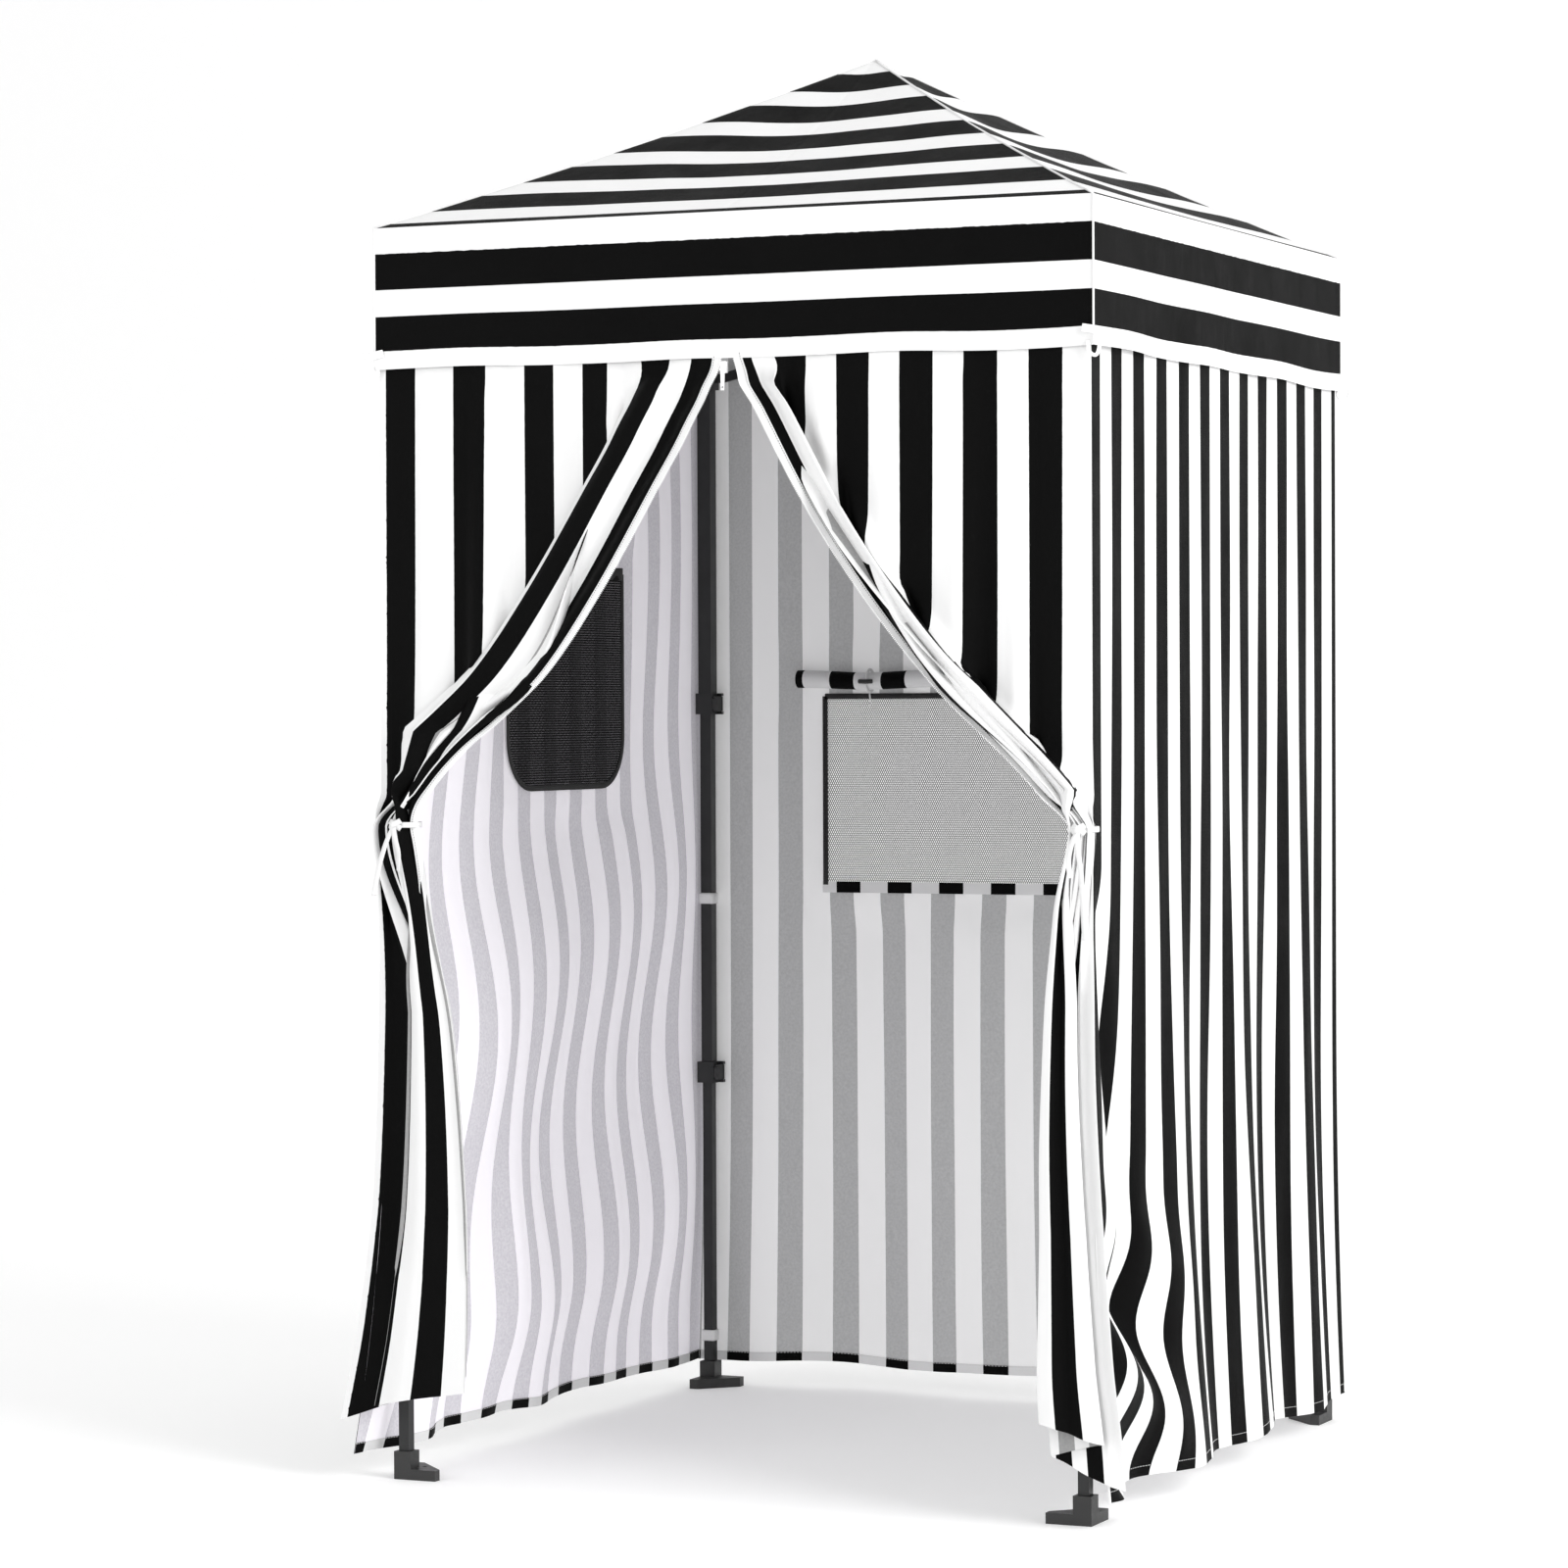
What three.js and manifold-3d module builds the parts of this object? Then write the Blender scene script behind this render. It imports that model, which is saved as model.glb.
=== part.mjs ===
// A privacy shower tent on a folding frame: four telescopic legs, two scissor crosses on
// each side, four roof ribs that meet at a hub, and a striped cloth skin.
// Millimetres, +Z up. The origin is on the ground at the middle of the four legs, and the
// door side faces -Y.
import * as THREE from "three";
import { mergeVertices } from "three/addons/utils/BufferGeometryUtils.js";
import Module from "manifold-3d";

const wasm = await Module();
wasm.setup();

// ---------- driving dimensions ----------
const SIDE = 1219.2; // canopy width and depth
const EAVE = 2000; // height of the canopy's lower roof edge
const PEAK = 2305; // height of the roof's tip
const VALANCE = 226; // drop of the striped band under the eave
const HEM = 45; // height of the wall hems above the ground
const FLARE = 40; // how far the wall hems stand out from the vertical
const CLOTH = 2.5; // cloth thickness of the solids
const UPPER = 25.4, MIDDLE = 21, LOWER = 18; // leg tube widths, outside
const TUBE_WALL = 1.2;
const COLLAR = [33, 38]; // clamp collar width and height
const BAR = [17, 7]; // scissor bar height and thickness
const PIN = 3; // pin radius of every scissor joint
const FOLD = 13.5; // slope of a scissor bar when the frame is open, in degrees
const DOOR_TIE = 0.525; // height of the door ties, as a share of the eave height
const WINDOW = [710, 340, 913]; // window width, height and sill height
const POCKET = [440, 370, 1098]; // pocket width, height and bottom height

// ---------- sizes that follow ----------
const half = SIDE / 2;
const leg = half - 29.6; // centre of each leg, along X and along Y
const pivot = leg - 28; // scissor pivots on a leg
const bar = pivot / Math.cos((FOLD * Math.PI) / 180); // pivot to pivot
const drop = bar * Math.sin((FOLD * Math.PI) / 180);
const topPivot = EAVE - 38;
const lowPivot = topPivot - drop;
const ribCorner = pivot + 17; // rib pivot on a leg bracket, along X and along Y
const hubReach = 17 * Math.SQRT2; // rib pivots on the hub, from the hub's axis
const ribZ = EAVE - 15;
const hubZ = ribZ + drop * Math.SQRT2;
const upperClamp = EAVE * 0.62;
const lowerClamp = EAVE * 0.2855;
const wallFace = half - 6.6; // outer face of the walls where they are vertical
const FACETS = 12;

const part = new THREE.Group();

const looks = {
  frame: { color: 0x26262a, roughness: 0.5, metalness: 0.6 },
  fitting: { color: 0x1c1c1e, roughness: 0.6, metalness: 0 },
  cloth: { color: 0xd8d8da, roughness: 0.9, metalness: 0 },
  net: { color: 0xc8c8c8, roughness: 0.9, metalness: 0 },
  white: { color: 0xf2f2f2, roughness: 0.6, metalness: 0 },
};

// ---------- solids ----------
function solid(geometry) {
  const bare = geometry.clone();
  bare.deleteAttribute("normal");
  bare.deleteAttribute("uv");
  const g = mergeVertices(bare, 1e-4);
  return new wasm.Manifold(new wasm.Mesh({
    numProp: 3,
    vertProperties: g.attributes.position.array,
    triVerts: new Uint32Array(g.index.array),
  }));
}

function add(name, look, body) {
  const mesh = body.getMesh();
  const g = new THREE.BufferGeometry();
  g.setAttribute("position", new THREE.BufferAttribute(mesh.vertProperties, 3));
  g.setIndex(new THREE.BufferAttribute(mesh.triVerts, 1));
  g.computeVertexNormals();
  const item = new THREE.Mesh(g, new THREE.MeshStandardMaterial(looks[look]));
  item.name = name;
  part.add(item);
}

// A box between two corners, given in any order.
function box(a, b) {
  const size = a.map((v, i) => Math.abs(b[i] - v));
  const g = new THREE.BoxGeometry(...size);
  g.translate(...a.map((v, i) => (v + b[i]) / 2));
  return solid(g);
}

// A square tube with open ends, round the vertical line through x, y.
function tube(x, y, z0, z1, outer, inner) {
  const o = outer / 2, i = inner / 2;
  return box([x - o, y - o, z0], [x + o, y + o, z1])
    .subtract(box([x - i, y - i, z0 - 5], [x + i, y + i, z1 + 5]));
}

// A round rod from a to b. A hole's flats are its nearest points, so it is drawn larger.
function rod(a, b, radius, isHole = false) {
  const from = new THREE.Vector3(...a), to = new THREE.Vector3(...b);
  const r = isHole ? radius / Math.cos(Math.PI / FACETS) : radius;
  const g = new THREE.CylinderGeometry(r, r, from.distanceTo(to), FACETS);
  const turn = new THREE.Quaternion().setFromUnitVectors(
    new THREE.Vector3(0, 1, 0), to.clone().sub(from).normalize());
  g.applyQuaternion(turn);
  g.translate(...from.add(to).multiplyScalar(0.5).toArray());
  return solid(g);
}

const union = (pieces) => pieces.reduce((a, b) => a.add(b));

// A flat bar with round ends, centred in its thickness on the plane through p and q.
function strap(p, q, normal, height, thickness) {
  const a = new THREE.Vector3(...p), b = new THREE.Vector3(...q);
  const along = b.clone().sub(a), length = along.length();
  along.normalize();
  const n = new THREE.Vector3(...normal).normalize();
  const up = n.clone().cross(along);
  const r = height / 2;
  const shape = new THREE.Shape();
  shape.absarc(0, 0, r, Math.PI / 2, (3 * Math.PI) / 2, false);
  shape.absarc(length, 0, r, -Math.PI / 2, Math.PI / 2, false);
  const g = new THREE.ExtrudeGeometry(shape, {
    depth: thickness, bevelEnabled: false, curveSegments: FACETS / 2 });
  g.translate(0, 0, -thickness / 2);
  g.applyMatrix4(new THREE.Matrix4().makeBasis(along, up, n).setPosition(a));
  return solid(g);
}

// ---------- legs ----------
const corners = { fl: [-1, -1], fr: [1, -1], br: [1, 1], bl: [-1, 1] };

// A collar clamped round the tube, with two lugs that hold the lever's pin. The lever sits
// on the face that looks inward along X.
function collar(sx, sy, z, bore) {
  const x = sx * leg, y = sy * leg;
  const face = x - sx * (COLLAR[0] / 2);
  const hinge = [face - sx * 4.6, y + sy * 11];
  const lug = (z0, z1) => box([face + sx * 1, hinge[1] - 4, z0], [hinge[0] - sx * 4, hinge[1] + 4, z1]);
  return union([
    tube(x, y, z - COLLAR[1] / 2, z + COLLAR[1] / 2, COLLAR[0], bore),
    lug(z - 19, z - 14),
    lug(z + 14, z + 19),
    rod([...hinge, z - 15], [...hinge, z + 15], 2),
  ]);
}

function lever(sx, sy, z) {
  const y = sy * leg, face = sx * (leg - COLLAR[0] / 2);
  const hinge = [face - sx * 4.6, y + sy * 11];
  const body = union([
    rod([...hinge, z - 13.4], [...hinge, z + 13.4], 4),
    box([face - sx * 2.6, hinge[1], z - 13.4], [face - sx * 7, y - sy * 17, z + 13.4]),
    box([face - sx * 2.6, y - sy * 17, z - 9], [face - sx * 12, y - sy * 21, z + 9]),
  ]);
  return body.subtract(rod([...hinge, z - 14], [...hinge, z + 14], 2.1, true));
}

// The bracket on top of an upper tube: a block, one ear toward each neighbouring leg with
// a pin for a scissor bar, and a fork for the roof rib.
function bracket(sx, sy) {
  const x = sx * leg, y = sy * leg, z = topPivot;
  const d = [-sx * Math.SQRT1_2, -sy * Math.SQRT1_2]; // toward the hub
  const n = [-d[1], d[0]];
  const rib = [sx * ribCorner, sy * ribCorner];
  const cheek = (s) => {
    const at = [rib[0] + n[0] * s, rib[1] + n[1] * s];
    return strap([...at, ribZ], [...at, z + 17], [...n, 0], 16, 3);
  };
  const at = (s) => [rib[0] + n[0] * s, rib[1] + n[1] * s, ribZ];
  return union([
    box([x - 17, y - 17, z - 22], [x + 17, y + 17, z + 13]),
    ...ears(sx, sy, z, 17),
    cheek(7), cheek(-7),
    rod(at(-8), at(8), PIN),
  ]);
}

// Two ears with pins. On each side of the tent, seen in order round it, the bar that starts
// at a leg's upper pivot runs in the outer plane and the bar that ends there in the inner.
function ears(sx, sy, z, block) {
  const x = sx * leg, y = sy * leg, made = [];
  for (const side of sides) {
    const starts = side.from[0] === sx && side.from[1] === sy;
    const ends = side.to[0] === sx && side.to[1] === sy;
    if (!starts && !ends) continue;
    const toward = starts ? 1 : -1;
    const along = side.along, out = side.out;
    const top = z === topPivot;
    // the outer plane holds the bar that starts high and the one that ends low
    const plane = starts === top ? 1 : -1;
    const px = x + along[0] * toward * 28, py = y + along[1] * toward * 28;
    const wide = 1.5;
    const a = [x + along[0] * toward * (block - 1) + out[0] * wide,
      y + along[1] * toward * (block - 1) + out[1] * wide, z - 8];
    const b = [px - out[0] * wide, py - out[1] * wide, z + 8];
    const shift = (s) => [px + out[0] * s * plane, py + out[1] * s * plane, z];
    made.push(box(a, b), rod(shift(-1.5), shift(1.5), 8), rod(shift(0), shift(11), PIN),
      rod(shift(9.5), shift(11.5), 5));
  }
  return made;
}

// The four sides in order round the tent, each with its direction and its outward normal.
const sides = [
  { name: "front", from: [-1, -1], to: [1, -1], along: [1, 0], out: [0, -1] },
  { name: "right", from: [1, -1], to: [1, 1], along: [0, 1], out: [1, 0] },
  { name: "back", from: [1, 1], to: [-1, 1], along: [-1, 0], out: [0, 1] },
  { name: "left", from: [-1, 1], to: [-1, -1], along: [0, -1], out: [-1, 0] },
];

for (const [key, [sx, sy]] of Object.entries(corners)) {
  const x = sx * leg, y = sy * leg;
  const bore = UPPER - 2 * TUBE_WALL;
  add(`leg_upper_${key}`, "frame", union([
    tube(x, y, upperClamp + 10, topPivot - 15, UPPER, bore),
    collar(sx, sy, upperClamp, MIDDLE + 0.8),
    bracket(sx, sy),
  ]));
  const slip = MIDDLE - 2 * TUBE_WALL;
  add(`leg_middle_${key}`, "frame", union([
    tube(x, y, lowerClamp, upperClamp + 50, MIDDLE, slip),
    collar(sx, sy, lowerClamp, LOWER + 0.5),
  ]));
  add(`leg_lower_${key}`, "frame",
    tube(x, y, 8, lowerClamp + 50, LOWER, LOWER - 2 * TUBE_WALL));
  add(`clamp_lever_upper_${key}`, "fitting", lever(sx, sy, upperClamp));
  add(`clamp_lever_lower_${key}`, "fitting", lever(sx, sy, lowerClamp));

  // foot: a right triangle with cut tips, a socket for the tube and a hole for a stake
  const ox = x + sx * 15, oy = y + sy * 15, reach = 74, tip = 16;
  const outline = new THREE.Shape([[0, 0], [reach, 0], [reach, tip], [tip, reach], [0, reach]]
    .map(([u, v]) => new THREE.Vector2(ox - sx * u, oy - sy * v)));
  const plate = solid(new THREE.ExtrudeGeometry(outline, { depth: 17, bevelEnabled: false }));
  const socket = LOWER / 2 + 0.3, rim = 15;
  add(`foot_${key}`, "fitting", union([
    plate,
    box([x - rim, y - rim, 10], [x + rim, y + rim, HEM]),
  ]).subtract(box([x - socket, y - socket, 7.7], [x + socket, y + socket, HEM + 5]))
    .subtract(rod([x - sx * 21, y - sy * 21, -5], [x - sx * 21, y - sy * 21, 25], 4, true)));

  const inner = UPPER + 1;
  add(`slider_${key}`, "fitting", union([
    tube(x, y, lowPivot - 20, lowPivot + 20, 35, inner),
    ...ears(sx, sy, lowPivot, 17.5),
  ]));
}

// ---------- scissor bars ----------
// Each side has two crosses. Pins stand on the bars of the outer plane.
for (const side of sides) {
  const { name, along, out } = side;
  const at = (s, plane, z) => [
    along[0] * s + out[0] * (leg + plane), along[1] * s + out[1] * (leg + plane), z];
  const outer = 5.5, inner = -5.5;
  const pins = (s, z) => [
    rod(at(s, 3, z), at(s, -11, z), PIN), rod(at(s, -9.5, z), at(s, -11.5, z), 5)];
  const eye = (s, z) => rod(at(s, 12, z), at(s, -12, z), PIN + 0.1, true);
  const mid = (topPivot + lowPivot) / 2;
  const flat = (s0, z0, s1, z1, plane) =>
    strap(at(s0, plane, z0), at(s1, plane, z1), [...out, 0], BAR[0], BAR[1]);
  add(`bar_${name}_1a`, "frame", union([
    flat(-pivot, topPivot, 0, lowPivot, outer), ...pins(-pivot / 2, mid), ...pins(0, lowPivot),
  ]).subtract(eye(-pivot, topPivot)));
  add(`bar_${name}_1b`, "frame", flat(-pivot, lowPivot, 0, topPivot, inner)
    .subtract(eye(-pivot, lowPivot)).subtract(eye(-pivot / 2, mid)).subtract(eye(0, topPivot)));
  add(`bar_${name}_2a`, "frame", flat(pivot, topPivot, 0, lowPivot, inner)
    .subtract(eye(pivot, topPivot)).subtract(eye(pivot / 2, mid)).subtract(eye(0, lowPivot)));
  add(`bar_${name}_2b`, "frame", union([
    flat(pivot, lowPivot, 0, topPivot, outer), ...pins(pivot / 2, mid), ...pins(0, topPivot),
  ]).subtract(eye(pivot, lowPivot)));
}

// ---------- roof ribs and hub ----------
const hubParts = [
  rod([0, 0, hubZ - 14], [0, 0, hubZ + 14], 13),
  rod([0, 0, hubZ], [0, 0, PEAK - 20], 8),
  rod([0, 0, PEAK - 26], [0, 0, PEAK - 20], 16),
];
for (const [key, [sx, sy]] of Object.entries(corners)) {
  const d = [sx * Math.SQRT1_2, sy * Math.SQRT1_2], n = [-d[1], d[0]];
  const at = (r, s) => [d[0] * r + n[0] * s, d[1] * r + n[1] * s, hubZ];
  for (const s of [-7, 7])
    hubParts.push(strap(at(hubReach, s), at(6, s), [...n, 0], 16, 3));
  hubParts.push(rod(at(hubReach, -8), at(hubReach, 8), PIN));
  const corner = [sx * ribCorner, sy * ribCorner, ribZ];
  const bore = (p) => rod([p[0] - n[0] * 9, p[1] - n[1] * 9, p[2]],
    [p[0] + n[0] * 9, p[1] + n[1] * 9, p[2]], PIN + 0.1, true);
  add(`roof_rib_${key}`, "frame", strap(corner, at(hubReach, 0), [...n, 0], 16, 10)
    .subtract(bore(corner)).subtract(bore(at(hubReach, 0))));
}
add("hub", "fitting", union(hubParts));

// ---------- cloth ----------
// Lofts a closed skin through rings of points that all have the same count. With a second
// stack of rings the two stacks are the outside and the inside of an open shell.
function loft(rings, capped = true) {
  const n = rings[0].length, points = rings.flat(2), index = [];
  for (let k = 0; k + 1 < rings.length + (capped ? 0 : 1); k++)
    for (let i = 0; i < n; i++) {
      const next = (k + 1) % rings.length;
      const a = k * n + i, b = k * n + ((i + 1) % n), c = next * n + i, e = next * n + ((i + 1) % n);
      index.push(a, b, e, a, e, c);
    }
  if (capped) {
    const flat = (ring) => THREE.ShapeUtils.triangulateShape(
      ring.map((p) => new THREE.Vector2(p[0], p[1])), []);
    const last = (rings.length - 1) * n;
    for (const [a, b, c] of flat(rings[0])) index.push(a, c, b);
    for (const [a, b, c] of flat(rings[rings.length - 1])) index.push(last + a, last + b, last + c);
  }
  const g = new THREE.BufferGeometry();
  g.setAttribute("position", new THREE.BufferAttribute(new Float32Array(points), 3));
  g.setIndex(index);
  return solid(g.toNonIndexed());
}

// Roof and valance in one shell. The roof sags a little between its ribs' ends.
const square = (r, z) => [[-r, -r, z], [r, -r, z], [r, r, z], [-r, r, z]];
const tip = 0.985; // the roof ends in a small flat
const roofZ = (t) => EAVE + (PEAK - EAVE) * (t / tip) * (0.9 + (0.1 * t) / tip);
const shares = [0, 0.33, 0.66, tip];
const outside = [square(half, EAVE - VALANCE),
  ...shares.map((t) => square(half * (1 - t), roofZ(t)))];
const inside = [square(half - CLOTH, EAVE - VALANCE),
  ...shares.map((t) => square((half - CLOTH) * (1 - t), roofZ(t) - CLOTH * 1.2))];
add("canopy", "cloth", loft(outside).subtract(loft([
  square(half - CLOTH, EAVE - VALANCE - 10), ...inside])));

// How far the walls stand out at a height: straight down, then flaring to the hem.
function lean(z) {
  const t = Math.max(0, (EAVE * 0.35 - z) / (EAVE * 0.35 - HEM));
  return wallFace + FLARE * t * t;
}
const heights = [HEM, EAVE * 0.1, EAVE * 0.2, EAVE * 0.35, EAVE - 14];

// A wall is built on the back and turned to its side; its ends are mitred.
function wall(turns) {
  const rings = heights.map((z) => {
    const f = lean(z), i = f - CLOTH, g = 0.6;
    return [[-f + g, f, z], [-i + g, i, z], [i - g, i, z], [f - g, f, z]];
  });
  const body = loft(rings.map((ring) => ring.map(([x, y, z]) => {
    let q = [x, y];
    for (let k = 0; k < turns; k++) q = [-q[1], q[0]];
    return [...q, z];
  })));
  return body;
}
const cut = box([-WINDOW[0] / 2, half - 40, WINDOW[2]],
  [WINDOW[0] / 2, half + 40, WINDOW[2] + WINDOW[1]]);
add("wall_back", "cloth", wall(0).subtract(cut));
add("wall_left", "cloth", wall(1));
add("wall_right", "cloth", wall(3));

const pane = wallFace - 2;
add("window_mesh", "net", box(
  [-WINDOW[0] / 2 + 0.4, pane, WINDOW[2] + 0.4],
  [WINDOW[0] / 2 - 0.4, pane + 1.2, WINDOW[2] + WINDOW[1] - 0.4]));
const rollY = wallFace - CLOTH - 18.5, rollZ = WINDOW[2] + WINDOW[1] + 30;
add("window_roll", "cloth",
  rod([-WINDOW[0] / 2 - 45, rollY, rollZ], [WINDOW[0] / 2 + 45, rollY, rollZ], 17.5));

// The pocket lies flat on the left wall, with round lower corners.
const [pocketW, pocketH, pocketZ] = POCKET, curve = 50;
const bag = new THREE.Shape();
bag.moveTo(-pocketW / 2, pocketH);
bag.lineTo(-pocketW / 2, curve);
bag.absarc(-pocketW / 2 + curve, curve, curve, Math.PI, 1.5 * Math.PI, false);
bag.absarc(pocketW / 2 - curve, curve, curve, 1.5 * Math.PI, 2 * Math.PI, false);
bag.lineTo(pocketW / 2, pocketH);
const bagGeometry = new THREE.ExtrudeGeometry(bag,
  { depth: 2.4, bevelEnabled: false, curveSegments: 8 });
bagGeometry.applyMatrix4(new THREE.Matrix4().makeBasis(
  new THREE.Vector3(0, 1, 0), new THREE.Vector3(0, 0, 1), new THREE.Vector3(1, 0, 0))
  .setPosition(-wallFace + CLOTH + 0.4, 40, pocketZ));
add("mesh_pocket", "net", solid(bagGeometry));

// ---------- door ----------
// Each half of the door hangs from the front eave, is swept to a tie on its leg and falls
// to the ground below it. Rows are: share of the eave height, the free edge's distance from
// the corner as a share of half the width, the pleat depth and how far it stands forward.
const drape = [
  [HEM / EAVE, 0.22, 14, 31.6], [0.08, 0.225, 13, 31], [0.2, 0.22, 12, 26], [0.35, 0.19, 10, 21],
  [0.46, 0.13, 8, 18], [DOOR_TIE - 0.015, 0.075, 6, 16], [DOOR_TIE + 0.01, 0.075, 6, 16],
  [0.56, 0.2, 7, 15], [0.615, 0.37, 6, 12], [0.7, 0.61, 5, 9], [0.8, 0.83, 3.5, 6.5],
  [0.88, 0.962, 1.2, 3], [(EAVE - 14) / EAVE, 0.975, 0.8, 2.6],
];
const SLIM = 0.65; // below its tie the right half is gathered tighter than the left
const PLEATS = 4, STEPS = 24;
function door(side) {
  const rings = drape.map(([share, full, depth, forward]) => {
    const z = share * EAVE, from = lean(z) - 4;
    const width = side > 0 && share < DOOR_TIE - 0.02 ? full * SLIM : full;
    const front = [], back = [];
    for (let i = 0; i <= STEPS; i++) {
      const u = i / STEPS, x = side * (from - u * width * half);
      const wave = depth * Math.sin(u * PLEATS * 2 * Math.PI + 1) * Math.min(1, u * 6);
      const y = -(wallFace + forward - 3 + wave * 0.8);
      front.push([x, y, z]);
      back.push([x, y + CLOTH, z]);
    }
    const ring = [...front, ...back.reverse()];
    return side < 0 ? ring : ring.reverse();
  });
  return loft(rings);
}
add("door_left", "cloth", door(-1));
add("door_right", "cloth", door(1));

// ---------- zip slider, at the top stop between the two door halves ----------
const zipZ = EAVE - VALANCE - 14, zipY = -(wallFace + 1);
const hangY = zipY - 5.6, hangZ = zipZ - 4;
add("zipper_slider", "white", union([
  box([-5, zipY - 3, zipZ - 9], [5, zipY + 3, zipZ + 9]),
  box([-5, zipY - 7, hangZ - 1.6], [-3.4, zipY - 2, hangZ + 1.6]),
  box([5, zipY - 7, hangZ - 1.6], [3.4, zipY - 2, hangZ + 1.6]),
  rod([-4, hangY, hangZ], [4, hangY, hangZ], 0.8),
]));
add("zipper_pull", "white", union([
  rod([-3, hangY, hangZ], [3, hangY, hangZ], 2.2),
  box([-3, hangY - 1, hangZ - 32], [3, hangY + 1, hangZ - 1]),
]).subtract(rod([-4, hangY, hangZ], [4, hangY, hangZ], 0.9, true))
  .subtract(rod([0, hangY - 4, hangZ - 27], [0, hangY + 4, hangZ - 27], 1.8, true)));

export default part;
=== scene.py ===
# %% [markdown]
# # A privacy shower tent
# A folding steel frame carries a sewn skin of black and white striped polyester. The frame
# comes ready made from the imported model, and this script makes everything that is soft or
# small: roof, valance, walls, the two halves of the door, zip, tapes, net and stitching.
# Every length is in metres, +Z is up and the door looks towards -Y.

# %% Frame
import math

import bmesh
import bpy
import numpy as np
from mathutils import Matrix, Vector


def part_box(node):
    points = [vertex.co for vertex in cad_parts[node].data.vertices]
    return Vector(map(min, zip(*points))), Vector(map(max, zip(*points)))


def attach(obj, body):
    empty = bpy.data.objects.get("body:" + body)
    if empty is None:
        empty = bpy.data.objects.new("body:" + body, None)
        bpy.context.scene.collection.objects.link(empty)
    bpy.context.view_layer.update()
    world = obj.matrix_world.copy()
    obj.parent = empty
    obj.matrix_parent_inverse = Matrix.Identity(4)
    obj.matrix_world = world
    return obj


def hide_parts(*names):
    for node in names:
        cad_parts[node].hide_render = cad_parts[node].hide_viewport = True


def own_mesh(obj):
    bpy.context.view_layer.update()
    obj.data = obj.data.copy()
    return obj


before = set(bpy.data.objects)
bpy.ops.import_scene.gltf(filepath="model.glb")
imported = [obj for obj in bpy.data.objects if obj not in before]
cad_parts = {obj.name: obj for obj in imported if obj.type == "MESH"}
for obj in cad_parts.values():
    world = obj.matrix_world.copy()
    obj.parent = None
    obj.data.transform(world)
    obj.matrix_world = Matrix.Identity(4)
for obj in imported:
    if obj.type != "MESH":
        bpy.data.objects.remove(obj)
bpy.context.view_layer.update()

# %% [markdown]
# The camera stands to the right of the door at a standing person's chest height and looks
# almost level, as a catalogue picture does. It is made first, because it decides how much
# detail each surface needs. A long lens keeps the tall walls nearly parallel.

# %% Camera
YAW, PITCH, ROLL = -0.41889, -0.01635, -0.00436
lens_data = bpy.data.cameras.new("camera")
lens_data.sensor_width = 36.0
lens_data.lens = 36.0 * 4987.0 / 1600.0
camera = bpy.data.objects.new("camera", lens_data)
bpy.context.scene.collection.objects.link(camera)
ahead = Vector((math.cos(PITCH) * math.sin(YAW), math.cos(PITCH) * math.cos(YAW), math.sin(PITCH)))
camera.rotation_euler = (ahead.to_track_quat("-Z", "Y") @ Matrix.Rotation(ROLL, 3, "Z").to_quaternion()).to_euler()
camera.location = (3.158, -7.476, 1.239)
bpy.context.scene.camera = camera
print("camera at", tuple(camera.location), "lens", round(lens_data.lens, 1), "mm")

# %% [markdown]
# The cloth pieces all hang from a few heights and widths. They are read from the frame, so
# that the skin fits the poles however the frame was made.

# %% Sizes
canopy_low, canopy_high = (Vector(c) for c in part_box("canopy"))
HALF = canopy_high.x
PEAK = canopy_high.z
HANG = canopy_low.z                      # lower edge of the valance
EAVE = HANG + 0.226
WALL = HALF - 0.0066                     # the walls, where they hang straight
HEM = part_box("wall_left")[0][2]
FLARE = 0.040                            # how far a hem stands out from the vertical
LEG = abs(sum(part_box("leg_lower_fl")[i][0] for i in (0, 1))) / 2
CORNERS = {"fl": (-1, -1), "fr": (1, -1), "br": (1, 1), "bl": (-1, 1)}
BLACK = 0.47                             # share of a stripe's period that is black
print("half width %.4f, eave %.3f, peak %.3f, leg centre %.3f" % (HALF, EAVE, PEAK, LEG))

# %% [markdown]
# ## Finishes
# A finish is a node tree. Writing it as a chain of nodes is long, so `Sum` wraps a socket
# and lets plus, times and less-than make the Math nodes. `Finish` starts a material and
# makes any other node by its type. Patterns read the piece's own `cloth` map or its Object
# coordinates, which stay put however the piece is later posed.

# %% Shader arithmetic
class Sum:
    def __init__(self, tree, socket):
        self.tree, self.socket = tree, socket

    def math(self, operation, *others):
        node = self.tree.nodes.new("ShaderNodeMath")
        node.operation = operation
        for pin, value in zip(node.inputs, (self,) + others):
            if isinstance(value, Sum):
                self.tree.links.new(value.socket, pin)
            else:
                pin.default_value = value
        return Sum(self.tree, node.outputs[0])

    def __add__(self, other): return self.math("ADD", other)
    def __sub__(self, other): return self.math("SUBTRACT", other)
    def __mul__(self, other): return self.math("MULTIPLY", other)
    def __truediv__(self, other): return self.math("DIVIDE", other)
    def __lt__(self, other): return self.math("LESS_THAN", other)
    def __gt__(self, other): return self.math("GREATER_THAN", other)
    __radd__, __rmul__ = __add__, __mul__

    def rest(self): return self.math("FRACT")
    def wave(self): return self.math("SINE")
    def top(self, other): return self.math("MAXIMUM", other)


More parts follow.
